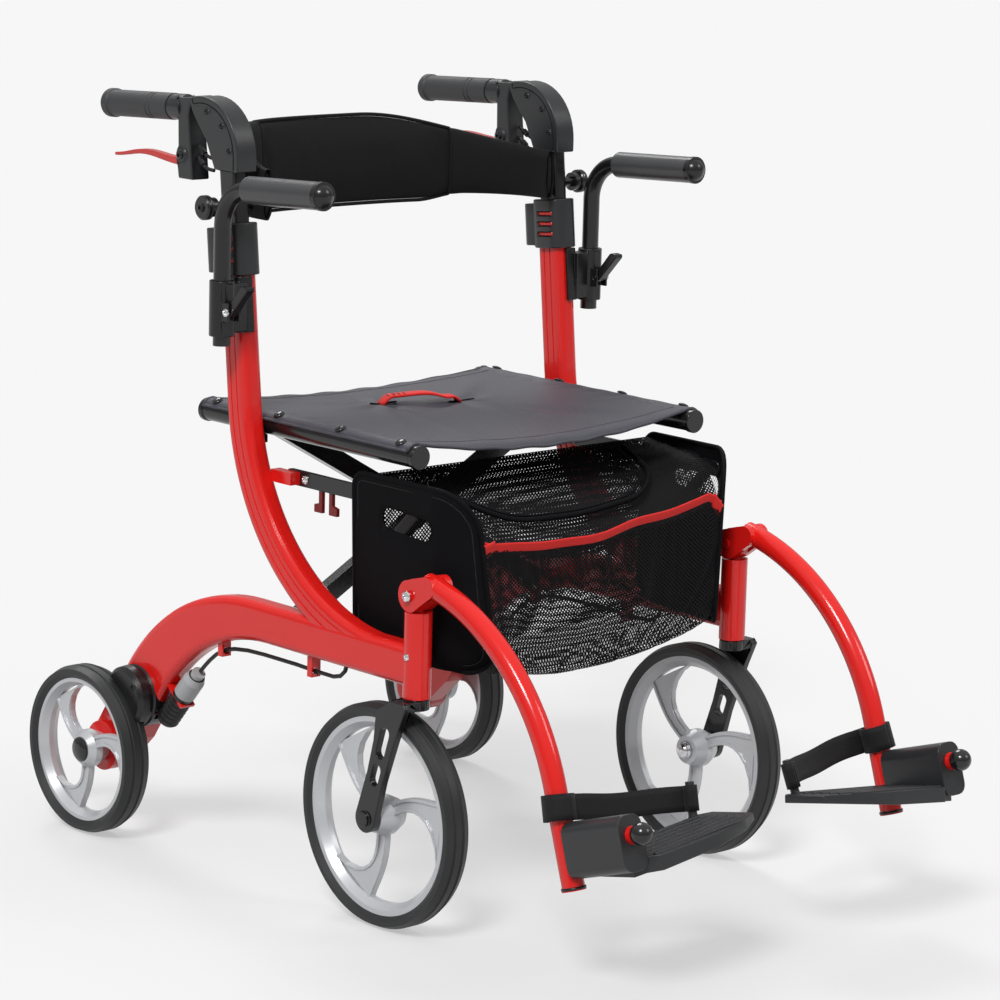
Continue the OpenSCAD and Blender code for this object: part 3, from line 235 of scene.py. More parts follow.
class Side(Enum):
    """The two sides of the chair, as the seated user has them."""

    RIGHT = -1
    LEFT = 1

    @property
    def tag(self) -> str:
        """Suffix of this side's nodes and bodies."""
        return "r" if self is Side.RIGHT else "l"

    @property
    def body(self) -> str:
        """Body of this side's welded frame."""
        return "frame_right" if self is Side.RIGHT else "frame_left"

    @property
    def rail_body(self) -> str:
        """Body of the brace that carries this side's seat rail."""
        return "brace_b" if self is Side.RIGHT else "brace_a"

    def at(self, x: float, y: float, z: float) -> Vector:
        """Places a point of the left-hand drawing on this side."""
        return at(self.value * x, y, z)


class Weave(Enum):
    """How the threads of a fabric lie."""

    PLAIN = "plain"
    RIBBED = "ribbed"
    NET = "net"


class NodeGroups:
    """Shader node groups that several finishes share."""

    VECTOR, NUMBER, COLOUR = "NodeSocketVector", "NodeSocketFloat", "NodeSocketColor"
    THREADS, HEIGHT = {"Vector": VECTOR, "Threads": NUMBER}, {"Height": NUMBER}

    def __init__(self) -> None:
        """Builds every group once."""
        self.grain = self._grain()
        self.weave = self._weave()
        self.ribs = self._ribs()
        self.net = self._net()

    @staticmethod
    def _new(name: str, inputs: dict[str, str], outputs: dict[str, str]) -> bpy.types.NodeTree:
        """Starts a group.

        Args:
            name: name of the group.
            inputs: socket name to socket type.
            outputs: socket name to socket type.

        Returns:
            The group's tree with its input and output nodes.
        """
        tree = bpy.data.node_groups.new(name, "ShaderNodeTree")
        for way, sockets in (("INPUT", inputs), ("OUTPUT", outputs)):
            for label, kind in sockets.items():
                tree.interface.new_socket(label, in_out=way, socket_type=kind)
        tree.nodes.new("NodeGroupInput").name = "in"
        tree.nodes.new("NodeGroupOutput").name = "out"
        return tree

    @staticmethod
    def maths(tree: bpy.types.NodeTree, operation: str, *values: object) -> bpy.types.NodeSocket:
        """Adds a Math node.

        Args:
            tree: tree that gets the node.
            operation: Blender's name of the operation.
            values: sockets or numbers for its inputs.

        Returns:
            The node's output.
        """
        node = tree.nodes.new("ShaderNodeMath")
        node.operation = operation
        for k, value in enumerate(values):
            if isinstance(value, bpy.types.NodeSocket):
                tree.links.new(value, node.inputs[k])
            else:
                node.inputs[k].default_value = float(value)
        return node.outputs[0]

    def _grain(self) -> bpy.types.NodeTree:
        """Fine grain over slow cloudy variation, for moulded, painted and rubber surfaces.

        Returns:
            The group's tree.
        """
        inputs = {"Vector": self.VECTOR, "Scale": self.NUMBER, "Colour": self.COLOUR, "Shade": self.COLOUR,
                  "Roughness": self.NUMBER, "Spread": self.NUMBER}
        outputs = {"Colour": self.COLOUR, "Roughness": self.NUMBER, "Height": self.NUMBER}
        tree = self._new("surface_grain", inputs, outputs)
        src, out, links = tree.nodes["in"].outputs, tree.nodes["out"].inputs, tree.links
        fine, slow = tree.nodes.new("ShaderNodeTexNoise"), tree.nodes.new("ShaderNodeTexNoise")
        fill(fine, {"Detail": 3})
        fill(slow, {"Detail": 2, "Scale": 14})
        for noise in (fine, slow):
            links.new(src["Vector"], noise.inputs["Vector"])
        links.new(src["Scale"], fine.inputs["Scale"])
        mix = tree.nodes.new("ShaderNodeMix")
        mix.data_type = "RGBA"
        # A Mix node's colour sockets follow those for numbers and vectors.
        first, second, mixed = mix.inputs[6], mix.inputs[7], mix.outputs[2]
        links.new(slow.outputs["Fac"], mix.inputs["Factor"])
        links.new(src["Colour"], first)
        links.new(src["Shade"], second)
        links.new(mixed, out["Colour"])
        swing = self.maths(tree, "SUBTRACT", slow.outputs["Fac"], 0.5)
        rough = self.maths(tree, "MULTIPLY_ADD", swing, src["Spread"], src["Roughness"])
        links.new(rough, out["Roughness"])
        links.new(fine.outputs["Fac"], out["Height"])
        return tree

    def _lines(self, tree: bpy.types.NodeTree, value: bpy.types.NodeSocket,
               count: bpy.types.NodeSocket) -> bpy.types.NodeSocket:
        """Rounded ridges: the absolute sine of a coordinate times pi times a count."""
        angle = self.maths(tree, "MULTIPLY", self.maths(tree, "MULTIPLY", value, count), math.pi)
        return self.maths(tree, "ABSOLUTE", self.maths(tree, "SINE", angle))

    def _uv(self, tree: bpy.types.NodeTree) -> tuple[bpy.types.NodeSocket, bpy.types.NodeSocket]:
        """Splits the group's vector into its two cloth directions.

        Args:
            tree: the group's tree.

        Returns:
            The sockets of both directions.
        """
        split = tree.nodes.new("ShaderNodeSeparateXYZ")
        tree.links.new(tree.nodes["in"].outputs["Vector"], split.inputs[0])
        return split.outputs["X"], split.outputs["Y"]

    def _weave(self) -> bpy.types.NodeTree:
        """Plain weave: warp and weft ridges change places in a chequer.

        Returns:
            The group's tree.
        """
        tree = self._new("plain_weave", self.THREADS, self.HEIGHT)
        u, v = self._uv(tree)
        count = tree.nodes["in"].outputs["Threads"]
        warp, weft = self._lines(tree, u, count), self._lines(tree, v, count)
        cell = self.maths(tree, "ADD", self.maths(tree, "FLOOR", self.maths(tree, "MULTIPLY", u, count)),
                          self.maths(tree, "FLOOR", self.maths(tree, "MULTIPLY", v, count)))
        odd = self.maths(tree, "ABSOLUTE", self.maths(tree, "MODULO", cell, 2.0))
        turned = self.maths(tree, "SUBTRACT", weft, warp)
        height = self.maths(tree, "MULTIPLY_ADD", turned, odd, warp)
        tree.links.new(height, tree.nodes["out"].inputs["Height"])
        return tree

    def _ribs(self) -> bpy.types.NodeTree:
        """Ribs across a webbing, with a fainter line along it.

        Returns:
            The group's tree.
        """
        tree = self._new("webbing_ribs", self.THREADS, self.HEIGHT)
        u, v = self._uv(tree)
        count = tree.nodes["in"].outputs["Threads"]
        across, along = self._lines(tree, u, count), self._lines(tree, v, count)
        height = self.maths(tree, "MULTIPLY_ADD", along, 0.35, across)
        tree.links.new(height, tree.nodes["out"].inputs["Height"])
        return tree

    def _net(self) -> bpy.types.NodeTree:
        """Knitted net: diamond holes between crossing threads.

        Returns:
            The group's tree.
        """
        tree = self._new("knitted_net", {**self.THREADS, "Opening": self.NUMBER},
                         {**self.HEIGHT, "Cover": self.NUMBER})
        u, v = self._uv(tree)
        src = tree.nodes["in"].outputs
        rise = self._lines(tree, self.maths(tree, "ADD", u, v), src["Threads"])
        fall = self._lines(tree, self.maths(tree, "SUBTRACT", u, v), src["Threads"])
        hole = self.maths(tree, "MULTIPLY", rise, fall)
        tree.links.new(self.maths(tree, "SUBTRACT", 1.0, hole), tree.nodes["out"].inputs["Height"])
        tree.links.new(self.maths(tree, "LESS_THAN", hole, src["Opening"]), tree.nodes["out"].inputs["Cover"])
        return tree


@dataclass(frozen=True)
class Finish:
    """A surface with grain: paint, plastic, rubber or metal. Its relief is in metres."""

    name: str
    colour: Colour
    shade: Colour
    roughness: float
    spread: float = 0.08
    grain: float = 900.0
    relief: float = 0.00004
    metallic: float = 0.0
    coat: float = 0.0
    specular: float = 0.4
    sheen: float = 0.0
    coordinate: str = "Object"

    def _shader(self, material: bpy.types.Material) -> bpy.types.ShaderNodeBsdfPrincipled:
        """Sets the shader's plain values.

        Args:
            material: the new material.

        Returns:
            Its shader.
        """
        shader = material.node_tree.nodes["Principled BSDF"]
        fill(shader, {"Metallic": self.metallic, "Coat Weight": self.coat, "Coat Roughness": 0.08,
                      "Specular IOR Level": self.specular, "Sheen Weight": self.sheen})
        return shader

    def _height(self, tree: bpy.types.NodeTree, groups: NodeGroups, grain: bpy.types.Node,
                where: bpy.types.NodeSocket) -> bpy.types.NodeSocket:
        """The socket that raises the surface."""
        return grain.outputs["Height"]

    def build(self, groups: NodeGroups) -> bpy.types.Material:
        """Makes the material.

        Args:
            groups: the shared node groups.

        Returns:
            The new material.
        """
        material = bpy.data.materials.new(self.name)
        material.use_nodes = True
        tree = material.node_tree
        shader = self._shader(material)
        where = tree.nodes.new("ShaderNodeTexCoord").outputs[self.coordinate]
        grain = tree.nodes.new("ShaderNodeGroup")
        grain.node_tree = groups.grain
        tree.links.new(where, grain.inputs["Vector"])
        fill(grain, {"Scale": self.grain, "Colour": (*self.colour, 1), "Shade": (*self.shade, 1),
                     "Roughness": self.roughness, "Spread": self.spread})
        tree.links.new(grain.outputs["Colour"], shader.inputs["Base Color"])
        tree.links.new(grain.outputs["Roughness"], shader.inputs["Roughness"])
        bump = tree.nodes.new("ShaderNodeBump")
        bump.inputs["Distance"].default_value = self.relief
        tree.links.new(self._height(tree, groups, grain, where), bump.inputs["Height"])
        tree.links.new(bump.outputs["Normal"], shader.inputs["Normal"])
        return material


@dataclass(frozen=True)
class Fabric(Finish):
    """A woven, ribbed or knitted cloth, laid out by the piece's own UV map in metres."""

    weave: Weave = Weave.PLAIN
    threads: float = 900.0
    opening: float = 0.3
    coordinate: str = "UV"

    def _height(self, tree: bpy.types.NodeTree, groups: NodeGroups, grain: bpy.types.Node,
                where: bpy.types.NodeSocket) -> bpy.types.NodeSocket:
        """The weave's relief. A net also opens its holes.

        Args:
            tree: the material's tree.
            groups: the shared node groups.
            grain: the grain's node, not used: its relief gives way to the weave's.
            where: coordinates of the surface.

        Returns:
            The socket that raises the surface.
        """
        cloth = tree.nodes.new("ShaderNodeGroup")
        kinds = {Weave.PLAIN: groups.weave, Weave.RIBBED: groups.ribs, Weave.NET: groups.net}
        cloth.node_tree = kinds[self.weave]
        tree.links.new(where, cloth.inputs["Vector"])
        cloth.inputs["Threads"].default_value = self.threads
        if self.weave is Weave.NET:
            cloth.inputs["Opening"].default_value = self.opening
            tree.links.new(cloth.outputs["Cover"], tree.nodes["Principled BSDF"].inputs["Alpha"])
        return cloth.outputs["Height"]


class Palette:
    """Every finish of the chair by name, each solid's finish, and its rounding in millimetres."""

    BLACK: tuple[Colour, Colour] = (0.007, 0.007, 0.008), (0.012, 0.012, 0.013)
    FINISHES: tuple[Finish, ...] = (
        Finish("red_paint", (0.80, 0.014, 0.010), (0.72, 0.011, 0.009), 0.17, 0.05, 260, 0.00003, coat=0.1),
        Finish("black_paint", *BLACK, 0.20, 0.08, 320, 0.00003, coat=0.1),
        Finish("black_tube", *BLACK, 0.24, 0.10, 500, 0.00003, coat=0.1),
        Finish("graphite_plastic", (0.018, 0.019, 0.021), (0.027, 0.028, 0.030), 0.34, 0.10, 1500, 0.00006,
               specular=0.45),
        Finish("black_plastic", *BLACK, 0.28, 0.12, 1300, 0.00006),
        Finish("rim_silver", (0.60, 0.61, 0.63), (0.52, 0.53, 0.55), 0.32, 0.10, 700, 0.00003, metallic=0.3,
               coat=0.2),
        Finish("tyre_rubber", (0.017, 0.018, 0.019), (0.028, 0.029, 0.030), 0.48, 0.14, 800, 0.00008),
        Finish("grip_rubber", (0.040, 0.041, 0.044), (0.056, 0.057, 0.060), 0.56, 0.10, 1700, 0.00010),
        Finish("foam_grey", (0.052, 0.053, 0.056), (0.066, 0.067, 0.070), 0.30, 0.08, 1100, 0.00010),
        Finish("lever_red", (0.66, 0.035, 0.03), (0.56, 0.025, 0.022), 0.30, 0.08, 900, 0.00004, coat=0.2),
        # Painted shade: a darker copy of the red, for the bag bar's red hooks and the slots of the seat's pull strap.
        Finish("painted_shade_red", (0.20, 0.012, 0.012), (0.14, 0.009, 0.009), 0.34, 0.08, 900, 0.00004),
        Finish("cable_jacket", (0.008, 0.008, 0.009), (0.014, 0.014, 0.015), 0.42, 0.08, 1200, 0.00003),
        Finish("bright_steel", (0.72, 0.72, 0.73), (0.62, 0.62, 0.64), 0.20, 0.10, 600, 0.00002,
               metallic=1.0),
        Finish("barrel_grey", (0.48, 0.49, 0.50), (0.40, 0.41, 0.42), 0.40, 0.10, 900, 0.00004),
        Finish("knob_black", *BLACK, 0.22, 0.06, 900, 0.00002, coat=0.3),
        Fabric("seat_nylon", (0.050, 0.050, 0.064), (0.060, 0.060, 0.076), 0.50, 0.10, 60, 0.00010,
               sheen=0.06, specular=0.3, threads=620),
        Fabric("padded_black", (0.006, 0.006, 0.007), (0.010, 0.010, 0.011), 0.75, 0.10, 60, 0.00012,
               sheen=0.04, specular=0.15, threads=700),
        Fabric("bag_nylon", (0.004, 0.004, 0.005), (0.007, 0.007, 0.008), 0.60, 0.12, 60, 0.00010,
               specular=0.05, threads=760),
        Fabric("bag_net", (0.005, 0.005, 0.006), (0.008, 0.008, 0.009), 0.70, 0.08, 60, 0.00010,
               specular=0.12, weave=Weave.NET, threads=200, opening=0.61),
        Fabric("lid_net", (0.006, 0.006, 0.007), (0.010, 0.010, 0.011), 0.66, 0.08, 60, 0.00010,
               specular=0.15, weave=Weave.NET, threads=200, opening=0.62),
        Fabric("window_net", (0.006, 0.006, 0.007), (0.009, 0.009, 0.010), 0.70, 0.08, 60, 0.00010,
               specular=0.12, weave=Weave.NET, threads=180, opening=0.18),
        Fabric("trim_red", (0.78, 0.022, 0.018), (0.66, 0.016, 0.014), 0.60, 0.10, 60, 0.00015, sheen=0.1,
               specular=0.2, weave=Weave.RIBBED, threads=500),
        Fabric("webbing", (0.007, 0.007, 0.008), (0.013, 0.013, 0.014), 0.66, 0.10, 60, 0.00025, sheen=0.06,
               specular=0.2, weave=Weave.RIBBED, threads=520),
    )
    ROUNDS: dict[str, float] = {
        "handle_hood": 2.0, "height_clamp": 1.5, "cam_lever": 1.5, "armrest_bracket": 1.0, "fork": 1.2,
        "footplate": 0.8, "brake_lever": 1.0, "rail_saddle": 1.0, "bag_bar": 0.8, "brace_a": 1.0,
        "brace_b": 1.0, "back_arm": 1.0,
    }
    NODES: dict[str, str] = {
        "side_frame": "red_paint", "footrest_post": "red_paint", "footrest_leg": "red_paint",
        "height_clamp": "graphite_plastic", "handle_hood": "graphite_plastic",
        "footplate": "graphite_plastic",
        "armrest_bracket": "black_plastic", "rail_saddle": "black_plastic", "brake_cover": "black_plastic",
        "brake_boot": "black_plastic", "back_arm": "black_plastic", "cam_lever": "black_plastic",
        "bag_bar": "black_paint", "rear_axle": "knob_black", "fork": "black_paint", "brace_a": "black_paint",
        "brace_b": "black_paint", "brake_cable": "cable_jacket", "front_tyre": "tyre_rubber",
        "rear_tyre": "tyre_rubber", "front_rim": "rim_silver", "rear_rim": "rim_silver",
        "handle_tube": "black_tube", "armrest_tube": "black_tube", "armrest_pad": "foam_grey",
        "grip": "grip_rubber", "brake_lever": "lever_red",
    }

    def __init__(self) -> None:
        """Builds all materials."""
        groups = NodeGroups()
        self.materials = {f.name: f.build(groups) for f in self.FINISHES}

    def __getitem__(self, name: str) -> bpy.types.Material:
        """The material of a finish."""
        return self.materials[name]

    def dress_solids(self) -> None:
        """Gives every carried-over solid its finish."""
        for name, solid in frame["nodes"].items():
            kind = kind_of(name)
            if kind in self.NODES:
                solid.data.materials.clear()
                solid.data.materials.append(self[self.NODES[kind]])
                LOG.info("%s: %s", name, self.NODES[kind])


class Maker:
    """Turns a bmesh into a finished piece, and holds the shapes that several pieces share."""

    # Turns between faces that count as flat, as an edge to round, and as an edge to keep sharp.
    FLAT, CORNER, SHARP = math.radians(0.6), math.radians(35), math.radians(40)
    # Height below which a bag bar is hooks, in metres.
    HOOK_TOP = 0.4655

    def __init__(self, palette: Palette) -> None:
        """Keeps the palette that pieces are painted from."""
        self.palette = palette

    def piece(self, bm: bmesh.types.BMesh, name: str, finish: str, smooth: bool = True,
              thickness: float = 0.0, rounds: int = 0) -> bpy.types.Object:
        """Links a mesh as an object at the origin.

        Args:
            bm: the shape, in the row's frame. It is freed.
            name: name of the piece.
            finish: finish from the palette.
            smooth: whether faces are shaded smooth.
            thickness: wall that a Solidify modifier adds to an open sheet, in metres.
            rounds: levels of subdivision.

        Returns:
            The object.
        """
        mesh = bpy.data.meshes.new(name)
        for face in bm.faces:
            face.smooth = smooth
        bm.to_mesh(mesh)
        bm.free()
        mesh.materials.append(self.palette[finish])
        piece = bpy.data.objects.new(name, mesh)
        bpy.context.scene.collection.objects.link(piece)
        if thickness:
            wall = piece.modifiers.new("wall", "SOLIDIFY")
            wall.thickness, wall.offset = thickness, 0.0
        if rounds:
            soft = piece.modifiers.new("soft", "SUBSURF")
            soft.levels = soft.render_levels = rounds
        LOG.info("%s: %s, %d faces", name, finish, len(mesh.polygons))
        return piece

    @staticmethod
    def sheet(place: Place, size: tuple[float, float], cells: tuple[int, int]) -> bmesh.types.BMesh:
        """A grid moved onto a surface, with its flat size as UV map.

        Args:
            place: surface point for u and v from 0 to 1.
            size: flat size in metres, for the UV map.
            cells: cells along u and v.

        Returns:
            The sheet.
        """
        bm = bmesh.new()
        layer = bm.loops.layers.uv.new("flat")
        share = [bm.verts.layers.float.new(name) for name in "uv"]
        bmesh.ops.create_grid(bm, x_segments=cells[0], y_segments=cells[1], size=0.5)
        for face in bm.faces:
            for loop in face.loops:
                loop[layer].uv = ((loop.vert.co.x + 0.5) * size[0], (loop.vert.co.y + 0.5) * size[1])
        for vert in bm.verts:
            vert[share[0]], vert[share[1]] = vert.co.x + 0.5, vert.co.y + 0.5
            vert.co = place(vert.co.x + 0.5, vert.co.y + 0.5)
        return bm

    @staticmethod
    def settle(piece: bpy.types.Object, held: Callable[[float, float], bool], cap: float,
               pressure: float = 0.0, gravity: float = 0.0, slack: float = 0.0, frames: int = 20) -> None:
        """Runs a short cloth simulation on a sheet and keeps the shape it comes to.

        Args:
            piece: a piece made from a sheet.
            held: whether the point at u and v is sewn fast.
            cap: most that a point may move, in metres.
            pressure: pressure inside a closed pad.
            gravity: share of gravity.
            slack: share by which the cloth is larger than its start.
            frames: frames to step.
        """
        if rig.quick():
            return
        mesh, scene = piece.data, bpy.context.scene
        before = [vert.co.copy() for vert in mesh.vertices]
        u, v = (mesh.attributes[name].data for name in "uv")
        fast = piece.vertex_groups.new(name="sewn")
        fast.add([k for k in range(len(before)) if held(u[k].value, v[k].value)], 1.0, "ADD")
        for other in piece.modifiers:
            other.show_viewport = False
        cloth = piece.modifiers.new("cloth", "CLOTH")
        rules = cloth.settings
        rules.vertex_group_mass, rules.shrink_min = "sewn", -slack
        rules.quality, rules.mass, rules.air_damping, rules.bending_stiffness = 6, 0.2, 4.0, 0.4
        rules.use_pressure, rules.uniform_pressure_force = pressure > 0, pressure
        rules.effector_weights.gravity = gravity
        for k in range(1, frames + 1):
            scene.frame_set(k)
        shape = piece.evaluated_get(bpy.context.evaluated_depsgraph_get())
        for vert, old, new in zip(mesh.vertices, before, shape.to_mesh().vertices):
            move = new.co - old
            vert.co = old + move * min(1.0, cap / max(move.length, 1e-9))
        shape.to_mesh_clear()
        piece.modifiers.remove(cloth)
        piece.vertex_groups.remove(fast)
        for other in piece.modifiers:
            other.show_viewport = True
        scene.frame_set(1)

    def ribbon(self, path: Path, across: Callable[[int], Vector], width: float) -> bmesh.types.BMesh:
        """A flat band along a path.

        Args:
            path: middle line, in metres.
            across: direction of the band's width at each point.
            width: width in metres.

        Returns:
            The open band.
        """
        length = sum((b - a).length for a, b in zip(path, path[1:]))

        def place(u: float, v: float) -> Vector:
            """Point of the band."""
            k = min(round(u * (len(path) - 1)), len(path) - 1)
            return path[k] + across(k).normalized() * width * (v - 0.5)

        return self.sheet(place, (length, width), (len(path) - 1, 4))

    @staticmethod
    def tube(path: Path, radius: float, sides: int = 8, closed: bool = False) -> bmesh.types.BMesh:
        """A round rod along a path, made of bridged rings.

        Args:
            path: middle line, in metres.
            radius: radius in metres.
            sides: corners of each ring.
            closed: whether the path comes back to its start.

        Returns:
            The rod.
        """
        bm = bmesh.new()
        layer = bm.loops.layers.uv.new("flat")
        rings: list[list[bmesh.types.BMEdge]] = []
        n = len(path)
        frame_x: Vector | None = None
        for k, point in enumerate(path):
            ahead = path[(k + 1) % n] if closed else path[min(k + 1, n - 1)]
            behind = path[k - 1] if closed else path[max(k - 1, 0)]
            axis = (ahead - behind).normalized()
            if frame_x is None:
                frame_x = axis.orthogonal().normalized()
            frame_x = (frame_x - axis * frame_x.dot(axis)).normalized()
            turn = Matrix((frame_x, axis.cross(frame_x), axis)).transposed().to_4x4()
            made = bmesh.ops.create_circle(bm, segments=sides, radius=radius,
                                           matrix=Matrix.Translation(point) @ turn)
            rings.append(list({e for v in made["verts"] for e in v.link_edges}))
        for first, second in zip(rings, rings[1:]):
            bmesh.ops.bridge_loops(bm, edges=first + second)
        if closed:
            bmesh.ops.bridge_loops(bm, edges=rings[-1] + rings[0])
        else:
            bmesh.ops.holes_fill(bm, edges=rings[0] + rings[-1], sides=sides)
        bmesh.ops.recalc_face_normals(bm, faces=bm.faces)
        for face in bm.faces:
            for loop in face.loops:
                loop[layer].uv = (loop.vert.co.x + loop.vert.co.y, loop.vert.co.z)
        return bm

    def rod(self, path: Path, radius: float, name: str, finish: str, sides: int = 8,
            closed: bool = False) -> bpy.types.Object:
        """A tube along a path, made a piece.

        Args:
            path: middle line, in metres.
            radius: radius in metres.
            name: name of the piece.
            finish: finish from the palette.
            sides: corners of each ring.
            closed: whether the path comes back to its start.

        Returns:
            The object.
        """
        return self.piece(self.tube(path, radius, sides, closed), name, finish)

    @staticmethod
    def turned(profile: Profile, centre: Vector, axis: Vector, steps: int = 32) -> bmesh.types.BMesh:
        """A shape turned about an axis.

        Args:
            profile: points as radius and height along the axis, in metres.
            centre: point on the axis at height 0.
            axis: direction of the axis.
            steps: steps of the full turn.

        Returns:
            The turned shape.
        """
        bm = bmesh.new()
        turn = Matrix.Translation(centre) @ Vector((0, 0, 1)).rotation_difference(axis).to_matrix().to_4x4()
        verts = [bm.verts.new((r, 0, h)) for r, h in profile]
        edges = [bm.edges.new(pair) for pair in zip(verts, verts[1:])]
        bmesh.ops.spin(bm, geom=verts + edges, cent=(0, 0, 0), axis=(0, 0, 1), angle=math.tau, steps=steps,
                       use_merge=True)
        bmesh.ops.remove_doubles(bm, verts=bm.verts, dist=1e-6)
        bmesh.ops.recalc_face_normals(bm, faces=bm.faces)
        bmesh.ops.transform(bm, matrix=turn, verts=bm.verts)
        return bm

    def round_solids(self) -> None:
        """Stands a copy with rounded edges in for every moulded or pressed solid."""
        owners = frame["record"]["behaviour"]["bodies"]
        for node, body in {node: body for body, nodes in owners.items() for node in nodes}.items():
            kind = kind_of(node)
            if kind in self.palette.ROUNDS:
                piece = self._rounded(node, self.palette.NODES[kind], self.palette.ROUNDS[kind] / 1000)
                # The bag bar's red hooks get painted shade: a darker red.
                if kind == "bag_bar":
                    self._redden_hooks(piece)
                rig.replaces(piece, node)
                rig.ride(piece, body)

    def _redden_hooks(self, bar: bpy.types.Object) -> None:
        """Paints the two red hooks below a bag bar a darker red, as painted shade.

        Args:
            bar: the bag bar with its hooks.
        """
        bm = bmesh.new()
        bm.from_mesh(bar.data)
        bmesh.ops.bisect_plane(bm, geom=bm.verts[:] + bm.edges[:] + bm.faces[:], dist=1e-6,
                               plane_co=(0, 0, self.HOOK_TOP), plane_no=(0, 0, 1))
        bm.to_mesh(bar.data)
        bm.free()
        # Painted shade: the faces below the hooks' top get the darker red.
        bar.data.materials.append(self.palette["painted_shade_red"])
        for face in bar.data.polygons:
            face.material_index = int(face.center.z < self.HOOK_TOP)

    def _rounded(self, node: str, finish: str, width: float) -> bpy.types.Object:
        """Copies a solid and rounds its edges.

        Args:
            node: name of the solid.
            finish: finish from the palette.
            width: width of the rounding, in metres.

        Returns:
            The rounded copy.
        """
        bm = bmesh.new()
        bm.from_mesh(frame["nodes"][node].data)
        bmesh.ops.remove_doubles(bm, verts=bm.verts, dist=2e-6)
        bmesh.ops.dissolve_limit(bm, angle_limit=self.FLAT, verts=bm.verts, edges=bm.edges)
        edges = [e for e in bm.edges if e.is_manifold and e.calc_face_angle() > self.CORNER]
        bmesh.ops.bevel(bm, geom=edges, offset=width, offset_type="OFFSET", segments=3, profile=0.5,
                        affect="EDGES", material=-1)
        piece = self.piece(bm, f"{node}_rounded", finish)
        piece.data.set_sharp_from_angle(angle=self.SHARP)
        piece.modifiers.new("even", "WEIGHTED_NORMAL").keep_sharp = True
        return piece

    def screw(self, name: str, head: Vector, axis: Vector, radius: float, finish: str, body: str) -> None:
        """A low domed screw head with a round socket.

        Args:
            name: name of the piece.
            head: middle of the head's underside.
            axis: direction that the head faces.
            radius: radius of the head, in metres.
            finish: finish from the palette.
            body: body that it rides on.
        """
        rise = radius * 0.55
        profile = [(0.0, -0.0006), (radius, -0.0006), (radius, rise * 0.35), (radius * 0.86, rise * 0.8),
                   (radius * 0.62, rise), (radius * 0.5, rise), (radius * 0.46, rise * 0.25),
                   (0.0, rise * 0.25)]
        bm = self.turned(profile, head, axis, steps=24)
        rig.ride(self.piece(bm, name, finish, smooth=False), body)


